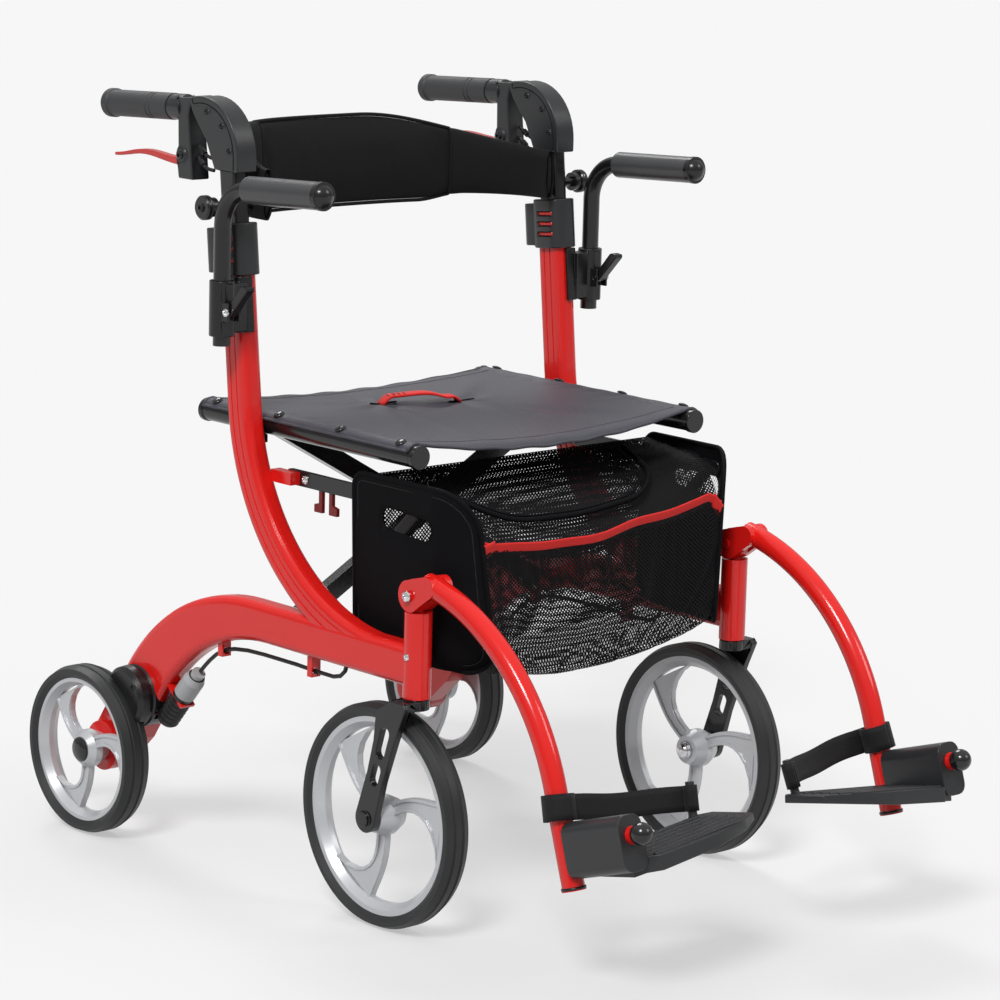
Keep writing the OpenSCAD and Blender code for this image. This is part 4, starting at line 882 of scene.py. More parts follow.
@dataclass
class SeatSling:
    """The cloth seat between the rails, its snaps and its pull strap, in millimetres.

    The snaps' profile, the cloth's flat width and the sizes in capitals are in metres.
    """

    # The slot and slit radii and the slot's half length are those of thin dark rods, painted shade in the pull strap's
    # slots and the seat's slits.
    HEM_R, EDGE_R, STITCH_R, SLOT_R, SLIT_R = 0.0020, 0.0017, 0.0006, 0.0009, 0.0011
    PULL_WIDTH, SLOT_HALF = 0.019, 0.0045
    SNAP = ((0.0, 0.0), (0.0066, 0.0), (0.0064, 0.0012), (0.0050, 0.0024), (0.0026, 0.0030), (0.0, 0.0031))

    rail_x: float = 211.0
    rail_z: float = 527.0
    rail_r: float = 14.4
    front: float = -84.0
    back: float = 281.0
    sag: float = 10.0
    flat_width: float = 0.454
    cells: tuple[int, int] = (96, 64)
    snap_ys: tuple[float, ...] = (-66.0, 38.0, 148.0, 262.0)
    snap_turn: float = math.radians(66)
    pull_y: float = 156.0
    pull_half: float = 47.0
    pull_skew: float = 16.0
    pull_across: tuple[float, float, float] = (0.34, 0.94, 0.0)

    def share(self, y: float) -> float:
        """Share of the seat's length at y, from the front."""
        return (y - self.front) / (self.back - self.front)

    def anchors(self) -> list[tuple[float, float]]:
        """Where the pull strap is sewn down, as x and y."""
        return [(t * self.pull_half, self.pull_y - self.pull_skew * t) for t in (-1, 1)]

    def creases(self, x: float, y: float) -> float:
        """Drawn folds from the pull strap to the corners, in millimetres.

        Args:
            x: distance from the middle plane.
            y: place along the seat.

        Returns:
            The rise of the cloth.
        """
        rise, star, fold = 0.0, 2.4, 3.0
        for k, (ax, ay) in enumerate(self.anchors()):
            dx, dy = x - ax, y - ay
            near = math.hypot(dx, dy)
            fade = (1 - math.exp(-(near / 12) ** 2)) * math.exp(-(near / 62) ** 2)
            rise += star * math.cos(6 * math.atan2(dy, dx) + k) * fade
            for ex, ey in ((ax * 4.1, self.front + 20), (ax * 4.1, self.back - 16), (ax * 2.2, self.front)):
                length = math.hypot(ex - ax, ey - ay)
                along = (dx * (ex - ax) + dy * (ey - ay)) / length
                off = (dx * (ey - ay) - dy * (ex - ax)) / length
                if 0 < along < length:
                    width = 7 + along / 16
                    rise += fold * math.sin(math.pi * along / length) * math.exp(-(off / width) ** 2)
        return rise

    def height(self, x: float, v: float) -> float:
        """Height of the cloth's middle layer between the rails, in millimetres.

        Args:
            x: distance from the middle plane.
            v: share of the seat's length, from the front.

        Returns:
            The height above the floor.
        """
        lip = self.rail_x - self.rail_r / 2
        share = max(1 - (x / lip) ** 2, 0)
        taut = self.rail_z + self.rail_r * math.sin(math.pi / 3)
        sag = self.sag * (0.7 + 0.7 * (1 - v) ** 2)
        lips = 5.0 * max(0.0, 1 - v / 0.03) ** 2 + 2.5 * max(0.0, 1 - (1 - v) / 0.03) ** 2
        puckers = 0.9 * math.sin(math.tau * 11 * v) * math.exp(-((abs(x) - lip) / 14) ** 2)
        ends = math.exp(-(v / 0.05) ** 2) + math.exp(-((1 - v) / 0.05) ** 2)
        hem_puckers = 0.8 * math.sin(x * 0.11) * ends
        folds = self.creases(x, self.front + (self.back - self.front) * v)
        return taut + (folds + hem_puckers - sag - lips) * share + puckers

    def place(self, u: float, v: float) -> Vector:
        """Surface point: over one rail, across, and over the other.

        Args:
            u: share of the way across, from the right-hand rail.
            v: share of the seat's length, from the front.

        Returns:
            The point in the row's frame.
        """
        wrap, low, high = 0.05, 30.0, 120.0
        side = -1 if u < 0.5 else 1
        w = u if u < 0.5 else 1 - u
        y = self.front + (self.back - self.front) * v
        hem = 2.2 * math.sin(math.pi * min(w / 0.2, 1)) * (1 if v > 0.5 else -1) * abs(2 * v - 1) ** 6
        if w < wrap:
            a = math.radians(low + (high - low) * w / wrap)
            r = self.rail_r + 0.5 * math.sin(math.tau * 8 * v) * (1 - w / wrap)
            return at(side * (self.rail_x + r * math.cos(a)), y, self.rail_z + r * math.sin(a))
        lip = self.rail_x - self.rail_r / 2
        x = side * lip * (0.5 - w) / (0.5 - wrap)
        return at(x, y - hem, self.height(x, v))

    def build(self, maker: Maker) -> None:
        """Makes the cloth, hems, snaps and pull strap.

        Args:
            maker: maker of pieces.
        """
        width, length = self.flat_width, (self.back - self.front) / 1000
        cloth = maker.piece(maker.sheet(self.place, (width, length), self.cells), "seat_sling", "seat_nylon",
                            thickness=0.0022, rounds=1)
        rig.replaces(cloth, "seat_cloth")
        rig.sheet(cloth, flat=(width, length), held="stretched", rests_on=["brace_a", "brace_b"])
        self._blend(cloth)
        for name, v0 in (("front", 0.0), ("back", 1.0)):
            edge = [self.place(k / 80, v0) for k in range(81)]
            self._blend(maker.rod(edge, self.HEM_R, f"seat_hem_{name}", "seat_nylon"))
            inset = 0.06 if v0 == 0 else -0.06
            inner = [self.place(0.05 + 0.9 * k / 60, v0 + inset) + Vector((0, 0, 0.0011)) for k in range(61)]
            self._blend(maker.rod(inner, self.STITCH_R, f"seat_stitch_{name}", "seat_nylon", 6))
        for side in Side:
            u = 0.0 if side is Side.RIGHT else 1.0
            edge = [self.place(u, k / 60) for k in range(61)]
            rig.ride(maker.rod(edge, self.EDGE_R, f"seat_edge_{side.tag}", "seat_nylon"), side.rail_body)
            c, s, r = math.cos(self.snap_turn), math.sin(self.snap_turn), self.rail_r + 0.8
            for k, y in enumerate(self.snap_ys):
                foot = side.at(self.rail_x + r * c, y, self.rail_z + r * s)
                dome = maker.turned(self.SNAP, foot, Vector((side.value * c, 0, s)), steps=20)
                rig.ride(maker.piece(dome, f"seat_snap_{side.tag}{k}", "knob_black"), side.rail_body)
        self._pull(maker)

    def _blend(self, piece: bpy.types.Object) -> None:
        """Lets a cloth piece follow both braces."""
        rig.blend(piece, "brace_b", "brace_a", at(-195, 0, self.rail_z), at(195, 0, self.rail_z))

    def _pull(self, maker: Maker) -> None:
        """The ribbed red strap in the middle of the seat, painted shade in its slots, and its sewn ends with painted
        shade in their slits.

        Args:
            maker: maker of pieces.
        """
        steps, clear = 30, 2.4
        v = self.share(self.pull_y)
        path = []
        for k in range(steps + 1):
            t = 2 * k / steps - 1
            x = self.pull_half * t
            lift = 11.0 * (1 - abs(t) ** 2.6) + 2.0 * math.exp(-((t + 0.55) / 0.3) ** 2)
            path.append(at(x, self.pull_y - self.pull_skew * t, self.height(x, v) + clear + lift))
        across = Vector(self.pull_across).normalized()
        band = maker.ribbon(path, lambda k: across, self.PULL_WIDTH)
        strap = maker.piece(band, "seat_pull_strap", "trim_red", thickness=0.0026)
        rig.replaces(strap, "seat_pull")
        self._blend(strap)
        # Painted shade: a short dark red rod across each slot of the strap.
        for k in range(4):
            place = path[3 + 2 * k] + Vector((0, 0, 0.0014))
            slot = [place - across * self.SLOT_HALF, place + across * self.SLOT_HALF]
            self._blend(maker.rod(slot, self.SLOT_R, f"seat_pull_slot_shade_{k}", "painted_shade_red", 6))
        # Painted shade: a short black line in the slit at each sewn end of the strap.
        for k, (x, y) in enumerate(self.anchors()):
            v = self.share(y)
            slit = [at(x + 4.5 * j, y - 0.6 * j, self.height(x + 4.5 * j, v) + 1.4) for j in range(-3, 6)]
            self._blend(maker.rod(slit, self.SLIT_R, f"seat_slit_shade_{k}", "padded_black", 6))


@dataclass
class BackStrap:
    """The padded strap behind the seated user, with its end sleeves and piping, in millimetres.

    Its top falls by shoulder towards each end: steeply at the right-hand end, gently at the left-hand one.
    Its lower edge rises by lift, from lift_start to lift_end before each end. The sleeves cover a share of
    its length. As the chair folds, it keeps a share of its width. The girths of the sleeves and the sizes in
    capitals are in metres.
    """

    PIPING_R, SEAM_R, PLATE = 0.0022, 0.0011, 0.005

    end_x: float = 216.5
    end_y: float = 171.0
    bow: float = 133.0
    low_z: float = 753.5
    top_z: float = 859.0
    thick: float = 22.0
    end_half: float = 4.4
    shoulder: float = 43.0
    steep: float = 62.0
    gentle: float = 272.0
    lift: float = 8.9
    lift_start: float = 180.0
    lift_end: float = 120.0
    cover: float = 0.24
    girths: tuple[float, float] = (0.180, 0.146)
    keep: float = 0.4213
    power: float = 2.8
    steps: int = 240
    spine: list[tuple[float, Vector, float]] = field(default_factory=list)

    def __post_init__(self) -> None:
        """Walks the centre line once: length so far, point and angle."""
        last, run = None, 0.0
        for k in range(self.steps + 1):
            a = math.radians(179.7 - 179.4 * k / self.steps)
            c, s = math.cos(a), math.sin(a)
            point = Vector((self.end_x * math.copysign(abs(c) ** (2 / self.power), c),
                            self.end_y + self.bow * s ** (2 / self.power), 0))
            run += (point - last).length if last else 0.0
            self.spine.append((run, point, s))
            last = point

    def section(self, t: float, a: float, proud: float = 0.0) -> Vector:
        """Surface point along the strap and round its section.

        Args:
            t: share of the strap's length, from the right-hand end.
            a: angle round the section, 0 at the back.
            proud: how far the point stands off the pad.

        Returns:
            The point in the row's frame.
        """
        want = t * self.spine[-1][0]
        k = max(next((i for i, row in enumerate(self.spine) if row[0] >= want), self.steps), 1)
        (r0, p0, s0), (r1, p1, s1) = self.spine[k - 1], self.spine[k]
        f = (want - r0) / max(r1 - r0, 1e-6)
        point, swell = p0.lerp(p1, f), s0 + (s1 - s0) * f
        along = (p1 - p0).normalized()
        out = Vector((-along.y, along.x, 0))
        inner = min(want, self.spine[-1][0] - want)
        if t < 0.5:
            fall = math.exp(-(inner / self.steep) ** 2)
        else:
            fall = 0.5 + 0.5 * math.cos(math.pi * min(inner / self.gentle, 1.0))
        top = self.top_z - self.shoulder * fall
        near = min(max((self.lift_start - inner) / (self.lift_start - self.lift_end), 0.0), 1.0)
        low = self.low_z + self.lift * near * near * (3 - 2 * near)
        h = (top - low) / 2
        half = self.end_half + (self.thick / 2 - self.end_half) * swell
        c, s = math.cos(a), math.sin(a)
        flat = point + out * (half + proud) * math.copysign(abs(c) ** 0.75, c)
        return at(flat.x, flat.y, low + h + (h + proud) * math.copysign(abs(s) ** 0.8, s))

    def build(self, maker: Maker) -> None:
        """Makes the pad, two sleeves and the piping.

        Args:
            maker: maker of pieces.
        """
        length = self.spine[-1][0] / 1000
        body = self._pad(maker, length)
        for side, girth in zip(Side, self.girths):
            self._sleeve(maker, side, (length * self.cover, girth), body)
            self._flatten(side)
        for name, a in (("top", math.pi / 2), ("bottom", -math.pi / 2)):
            line = [self.section(self.cover + (1 - 2 * self.cover) * k / 80, a, 0.6) for k in range(81)]
            self._hold(maker.rod(line, self.PIPING_R, f"back_piping_{name}", "padded_black"))

    def _pad(self, maker: Maker, length: float) -> bpy.types.Object:
        """Makes the pad, which starts a little thin because it swells.

        Args:
            maker: maker of pieces.
            length: length of the strap, in metres.

        Returns:
            The pad.
        """
        core = maker.sheet(lambda u, v: self.section(u, -math.tau * v, -1.4), (length, 0.24), (110, 40))
        self._close(core)
        body = maker.piece(core, "back_strap_pad", "padded_black", rounds=1)
        maker.settle(body, self._sewn, cap=0.005, pressure=3.5)
        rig.replaces(body, "back_strap")
        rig.padded(body, fill=0.55)
        self._hold(body)
        return body

    def _sewn(self, u: float, v: float) -> bool:
        """Whether a point of the pad lies in a seam: at a sleeve's hem, an end or an edge."""
        hem = min(abs(u - self.cover), abs(u - 1 + self.cover))
        return hem < 0.006 or min(u, 1 - u) < 0.02 or abs(abs(v - 0.5) - 0.25) < 0.013

    def _sleeve(self, maker: Maker, side: Side, flat: tuple[float, float], body: bpy.types.Object) -> None:
        """Makes an end sleeve, drawn in at its inner hem and gathered at its end, and its seam.

        Args:
            maker: maker of pieces.
            side: end of the strap.
            flat: flat size of the sleeve, in metres.
            body: the pad that it covers.
        """
        def share(u: float) -> float:
            """Share of the strap's length for u from 0, at the hem, to 1."""
            return self.cover * (1 - u) if side is Side.RIGHT else 1 - self.cover * (1 - u)

        def place(u: float, v: float) -> Vector:
            """Point of the sleeve."""
            proud = 1.9 - 1.2 * max(0.0, 1 - u / 0.05) + 0.5 * math.sin(v * math.tau * 7) * u ** 3
            return self.section(share(u), -side.value * math.tau * v, proud)

        cover = maker.sheet(place, flat, (30, 44))
        bmesh.ops.remove_doubles(cover, verts=cover.verts, dist=1e-5)
        tube = maker.piece(cover, f"back_sleeve_{side.tag}", "padded_black", thickness=0.0012, rounds=1)
        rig.sheet(tube, flat=flat, held="stretched", rests_on=[body])
        self._hold(tube)
        line = [self.section(share(0.0), math.tau * k / 60, 1.6) for k in range(60)]
        self._hold(maker.rod(line, self.SEAM_R, f"back_seam_{side.tag}", "padded_black", 6, closed=True))

    def _flatten(self, side: Side) -> None:
        """Presses an end arm to a plate that stays inside its sleeve.

        Args:
            side: end of the strap.
        """
        arm = bpy.data.objects[f"back_arm_{side.tag}_rounded"].data
        xs = [vert.co.x for vert in arm.vertices]
        middle = (min(xs) + max(xs)) / 2
        press = self.PLATE / (max(xs) - min(xs))
        for vert in arm.vertices:
            vert.co.x = side.value * self.end_x / 1000 + (vert.co.x - middle) * press

    @staticmethod
    def _close(bm: bmesh.types.BMesh) -> None:
        """Joins the sheet's two long edges and fills its ends.

        Args:
            bm: the pad's sheet.
        """
        bmesh.ops.remove_doubles(bm, verts=bm.verts, dist=1e-5)
        bmesh.ops.holes_fill(bm, edges=[e for e in bm.edges if e.is_boundary], sides=80)
        bmesh.ops.recalc_face_normals(bm, faces=bm.faces)

    def _hold(self, piece: bpy.types.Object) -> None:
        """Rides on the right-hand arm and shortens as the chair folds."""
        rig.ride(piece, "back_r")
        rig.squash(piece, "fold", (1, 0, 0), at(-self.end_x, 0, 0), self.keep)


@dataclass
class Bag:
    """The net bag under the seat: stiff side panels, net wrap, zipped lid and red trim, in millimetres.

    Each panel bends inward at its front over the length bend and comes forward by bend_y. The right-hand one
    comes forward by flare as well, low down. Both lean inward at the foot. Their corners' radii run from the
    rear top over the front to the rear foot. As the chair folds, the bag keeps a share of its width.
    """

    # Flat sizes of its nets, in metres.
    FRONT, LID, BOTTOM = (0.385, 0.173), (0.442, 0.200), (0.434, 0.128)
    REAR, SCREEN = (0.442, 0.209), (0.09, 0.034)

    half: float = 224.4
    edge_x: float = 190.0
    back: float = 5.0
    top: float = 501.0
    low: float = 298.0
    bend: float = 65.0
    bend_y: float = 51.0
    flare: float = 16.0
    lean: float = 8.0
    straights: tuple[float, float] = (130.0, 116.0)
    corners: tuple[float, ...] = (18.0, 56.0, 26.0, 36.0)
    trim_z: float = 441.0
    window_at: tuple[float, float] = (94.0, 454.0)
    window_r: float = 12.5
    window_half: float = 29.0
    window_tilt: float = math.radians(-3.5)
    keep: float = 0.4416

    def straight(self, side: Side) -> float:
        """Length of a panel's straight part, behind its bend, in millimetres."""
        return self.straights[0] if side is Side.RIGHT else self.straights[1]

    def length(self, side: Side) -> float:
        """Length of a panel with its bend, in millimetres."""
        return self.straight(side) + self.bend

    def panel_point(self, side: Side, run: float, z: float, proud: float = 0.0) -> Vector:
        """A point of a side panel, which bends inward at its front.

        Args:
            side: side of the chair.
            run: distance along the panel from its rear edge, in millimetres.
            z: height.
            proud: how far the point stands off the panel, outward.

        Returns:
            The point in the row's frame.
        """
        flat = self.straight(side)
        q = max(0.0, (run - flat) / self.bend)
        x = self.half - (self.half - self.edge_x) * q ** 1.8
        y = self.back - min(run, flat) - self.bend_y * q
        if side is Side.RIGHT:
            y -= self.flare * q * min(max((443 - z) / 98, 0.0), 1.2)
        lean = self.lean * max(0.0, (430 - z) / 130) ** 1.5
        ripple = 1.0 * math.sin(y * 0.03 + 1) * math.sin(z * 0.026)
        return side.at(x + proud - lean + ripple, y + (proud * q * -0.9), z)

    def outline(self, side: Side, inset: float, steps: int = 10) -> list[tuple[float, float]]:
        """Rounded outline of a side panel, as run and height.

        Args:
            side: side of the chair.
            inset: how far it is drawn in.
            steps: steps of each corner.

        Returns:
            The points in order.
        """
        points = []
        for corner, r in enumerate(self.corners):
            run = r if corner in (0, 3) else self.length(side) - r
            z = self.top - r if corner < 2 else self.low + r
            for k in range(steps + 1):
                a = math.radians(180 - 90 * corner - 90 * k / steps)
                points.append((run + (r - inset) * math.cos(a), z + (r - inset) * math.sin(a)))
        return points

    def window(self, grow: float = 0.0, steps: int = 12) -> list[tuple[float, float]]:
        """Outline of the pill-shaped window, tilted a little, as run and height.

        Args:
            grow: how far it is drawn out.
            steps: steps of each half.

        Returns:
            The points in order.
        """
        points = []
        (run, height), r = self.window_at, self.window_r + grow
        c, s = math.cos(self.window_tilt), math.sin(self.window_tilt)
        for k in range(2 * steps):
            a = math.pi - math.tau * (k + 0.5) / (2 * steps)
            y, z = r * math.cos(a) + math.copysign(self.window_half, math.cos(a)), r * math.sin(a)
            points.append((run + y * c - z * s, height + y * s + z * c))
        return points

    def edge(self, side: Side, z: float) -> Vector:
        """The front edge of a panel at a height."""
        return self.panel_point(side, self.length(side) - 2, z)

    def trim(self, u: float) -> Vector:
        """Middle line of the red trim across the front.

        Args:
            u: share of the way across, from the right-hand side.

        Returns:
            The point in the row's frame.
        """
        wave = (2.6 * math.sin(11 * u + 0.5) + 1.2 * math.sin(23 * u)) * (1 - (2 * u - 1) ** 2)
        z = self.trim_z - 14 * math.sin(math.pi * u) ** 0.5 + 22 * u * u * min(1.0, (1 - u) / 0.06) + wave
        start, end = (self.edge(side, self.trim_z) for side in Side)
        point = start.lerp(end, u) - Vector((0, 0.004 * math.sin(math.pi * u), 0))
        return Vector((point.x, point.y, z / 1000))

    def front_point(self, u: float, v: float) -> Vector:
        """Net front, from under the bag up to the trim.

        Args:
            u: share of the way across, from the right-hand side.
            v: share of the way up.

        Returns:
            The point in the row's frame.
        """
        share = 1 - (2 * u - 1) ** 2
        top = self.trim(u)
        z0 = (self.low - 16 * share ** 0.7) / 1000
        turn, knee = 0.032, 0.2
        if v < knee:
            a = math.pi / 2 * v / knee
            z = z0 + turn * (1 - math.cos(a))
            inset = turn * (1 - math.sin(a))
        else:
            z = z0 + turn + (top.z - z0 - turn) * (v - knee) / (1 - knee)
            inset = 0.0
        start, end = (self.edge(side, min(max(z * 1000, self.low + 8), self.trim_z)) for side in Side)
        point = start.lerp(end, u)
        return Vector((point.x, point.y + inset - 0.006 * share * math.sin(math.pi * min(v, 1)), z))

    def lid_point(self, u: float, v: float) -> Vector:
        """Net lid, from behind the trim to the rear.

        Args:
            u: share of the way across, from the right-hand side.
            v: share of the way back.

        Returns:
            The point in the row's frame.
        """
        share = 1 - (2 * u - 1) ** 2
        front = self.trim(u)
        rear = at(self.half * (2 * u - 1) * 0.985, self.back - 8, self.top - 6)
        tuck, gap = 0.012, 0.005
        lift = math.sin(math.pi / 2 * min(v / 0.5, 1)) ** 0.8
        x = front.x + (rear.x - front.x) * min(v / 0.45, 1.0) ** 0.7
        y = front.y + gap + (rear.y - front.y - gap) * v
        crest = rear.z - 0.016 * share * math.sin(math.pi * min(v, 1.0)) - tuck * (1 - v)
        return Vector((x, y, front.z - tuck + (crest - front.z + tuck) * lift))

    def build(self, maker: Maker) -> None:
        """Makes every piece of the bag.

        Args:
            maker: maker of pieces.
        """
        panels = [f"bag_panel_{side.tag}" for side in Side]
        wrap = maker.piece(maker.sheet(self.front_point, self.FRONT, (72, 44)), "bag_front_net", "bag_net")
        maker.settle(wrap, self._sewn, cap=0.012, gravity=0.6, slack=0.015)
        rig.replaces(wrap, "bag")
        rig.sheet(wrap, flat=self.FRONT, held="stretched", rests_on=panels)
        self._hold(wrap)
        for name, drop in (("lid", 0.0), ("lining", 0.007)):
            def cover(u: float, v: float, d: float = drop) -> Vector:
                """Point of the lid or of its lining."""
                return self.lid_point(u, v) - Vector((0, 0, d * math.sin(math.pi * u)))

            lid = maker.piece(maker.sheet(cover, self.LID, (72, 40)), f"bag_{name}_net", "lid_net")
            maker.settle(lid, self._sewn, cap=0.010, gravity=0.6, slack=0.012)
            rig.sheet(lid, flat=self.LID, held="stretched", rests_on=panels, area=0.0794)
            self._hold(lid)
        for name, place, flat, area in (("bottom", self._bottom, self.BOTTOM, 0.0493),
                                        ("rear", self._rear, self.REAR, 0.0909)):
            net = maker.piece(maker.sheet(place, flat, (28, 18)), f"bag_{name}_net", "bag_net")
            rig.sheet(net, flat=flat, held="stretched", rests_on=panels, area=area)
            self._hold(net)
        self._zip(maker)
        upright = Vector((0, -0.25, 1))
        band = maker.ribbon([self.trim(k / 64) for k in range(65)], lambda k: upright, 0.011)
        self._hold(maker.piece(band, "bag_red_trim", "trim_red", thickness=0.0022, rounds=1))
        for side in Side:
            u0 = 0.0 if side is Side.RIGHT else 1.0
            path = [self.trim(abs(u0 - 0.007 * k)) - Vector((0, 0.0006, 0.0012 * (6 - k))) for k in range(7)]
            tab = maker.ribbon(path, lambda k: upright, 0.017)
            self._hold(maker.piece(tab, f"bag_trim_tab_{side.tag}", "trim_red", thickness=0.0016))
            self._panel(maker, side)

    @staticmethod
    def _sewn(u: float, v: float) -> bool:
        """Whether a point lies in the seam round a net."""
        return min(u, v, 1 - u, 1 - v) < 0.01

    def _bottom(self, u: float, v: float) -> Vector:
        """Bottom of the wrap.

        Args:
            u: share of the way across, from the right-hand side.
            v: share of the way back.

        Returns:
            The point in the row's frame.
        """
        share = 1 - (2 * u - 1) ** 2
        start = self.front_point(u, 0.0)
        rear = at(0, self.back - 30, 0).y
        return Vector((start.x * (1 + 0.14 * min(v * 2, 1)), start.y + (rear - start.y) * v,
                       start.z + 0.004 * share * v))

    def _rear(self, u: float, v: float) -> Vector:
        """Rear of the wrap.

        Args:
            u: share of the way across, from the right-hand side.
            v: share of the way up.

        Returns:
            The point in the row's frame.
        """
        foot, head = self._bottom(u, 1.0), self.lid_point(u, 1.0)
        turn = math.sin(math.pi / 2 * min(v / 0.3, 1))
        point = foot.lerp(head, v)
        return Vector((point.x, foot.y + (head.y - foot.y) * turn, point.z))

    def _zip(self, maker: Maker) -> None:
        """Binding and zip of the lid's flap.

        Args:
            maker: maker of pieces.
        """
        for name, r, grow in (("tape", 0.0032, 0.0), ("teeth", 0.0015, 0.026)):
            path = []
            for k in range(81):
                t = 2 * k / 80 - 1
                u = 0.445 + (0.42 - grow) * t
                v = 0.16 + grow + 0.72 * abs(t) ** 6
                path.append(self.lid_point(u, min(v, 0.97)) + Vector((0, -0.0015, 0.0012)))
            self._hold(maker.rod(path, r, f"bag_lid_{name}", "bag_nylon"))

    def _panel(self, maker: Maker, side: Side) -> None:
        """Side panel with its window, piping and stitching.

        Args:
            maker: maker of pieces.
            side: side of the chair.
        """
        bm = bmesh.new()
        layer = bm.loops.layers.uv.new("flat")
        loops = []
        for points in (self.outline(side, 1.5), self.window()):
            verts = [bm.verts.new((run / 1000, z / 1000, 0)) for run, z in points]
            loops.append([bm.edges.new((a, b)) for a, b in zip(verts, verts[1:] + verts[:1])])
        bmesh.ops.bridge_loops(bm, edges=loops[0] + loops[1])
        bmesh.ops.triangulate(bm, faces=bm.faces)
        bmesh.ops.subdivide_edges(bm, edges=bm.edges, cuts=5, use_grid_fill=True)
        for face in bm.faces:
            for loop in face.loops:
                loop[layer].uv = loop.vert.co.xy
        for vert in bm.verts:
            vert.co = self.panel_point(side, vert.co.x * 1000, vert.co.y * 1000)
        bmesh.ops.recalc_face_normals(bm, faces=bm.faces)
        panel = maker.piece(bm, f"bag_panel_{side.tag}", "bag_nylon", thickness=0.0030)
        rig.sheet(panel, flat=(self.length(side) / 1000, 0.203), held="hung", rests_on=[f"bag_bar_{side.tag}"],
                 area=0.0363 if side is Side.RIGHT else 0.0322)
        self._hold(panel)
        for name, points, proud, radius, sides, finish in (
                ("piping", self.outline(side, 2.0), 0.0, 0.0030, 10, "bag_nylon"),
                ("stitch", self.outline(side, 10), 1.5, 0.0006, 6, "webbing"),
                ("window_edge", self.window(0.6), 0.6, 0.0013, 8, "bag_nylon")):
            path = [self.panel_point(side, run, z, proud) for run, z in points]
            self._hold(maker.rod(path, radius, f"bag_{name}_{side.tag}", finish, sides, closed=True))
        self._window(maker, side)

    def _window(self, maker: Maker, side: Side) -> None:
        """Net and strap behind the window of a side panel.

        Args:
            maker: maker of pieces.
            side: side of the chair.
        """
        run, height = self.window_at

        def place(u: float, v: float) -> Vector:
            """Point of the net."""
            return self.panel_point(side, run + 90 * (u - 0.5), height + 34 * (v - 0.5), -1.0)

        net = maker.sheet(place, self.SCREEN, (16, 8))
        screen = maker.piece(net, f"bag_window_net_{side.tag}", "window_net")
        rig.sheet(screen, flat=self.SCREEN, held="stretched", rests_on=[f"bag_panel_{side.tag}"])
        self._hold(screen)
        strap = [self.panel_point(side, 78 + 28 * k / 12, 440 + 28 * k / 12, -0.2) for k in range(13)]
        band = maker.ribbon(strap, lambda k: Vector((0, 0.7, 0.7)), 0.015)
        self._hold(maker.piece(band, f"bag_window_strap_{side.tag}", "webbing", thickness=0.0012))

    def _hold(self, piece: bpy.types.Object) -> None:
        """Rides on the right-hand frame and draws together as the chair folds."""
        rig.ride(piece, "frame_right")
        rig.squash(piece, "fold", (1, 0, 0), at(-self.half - 1, 0, 0), self.keep)


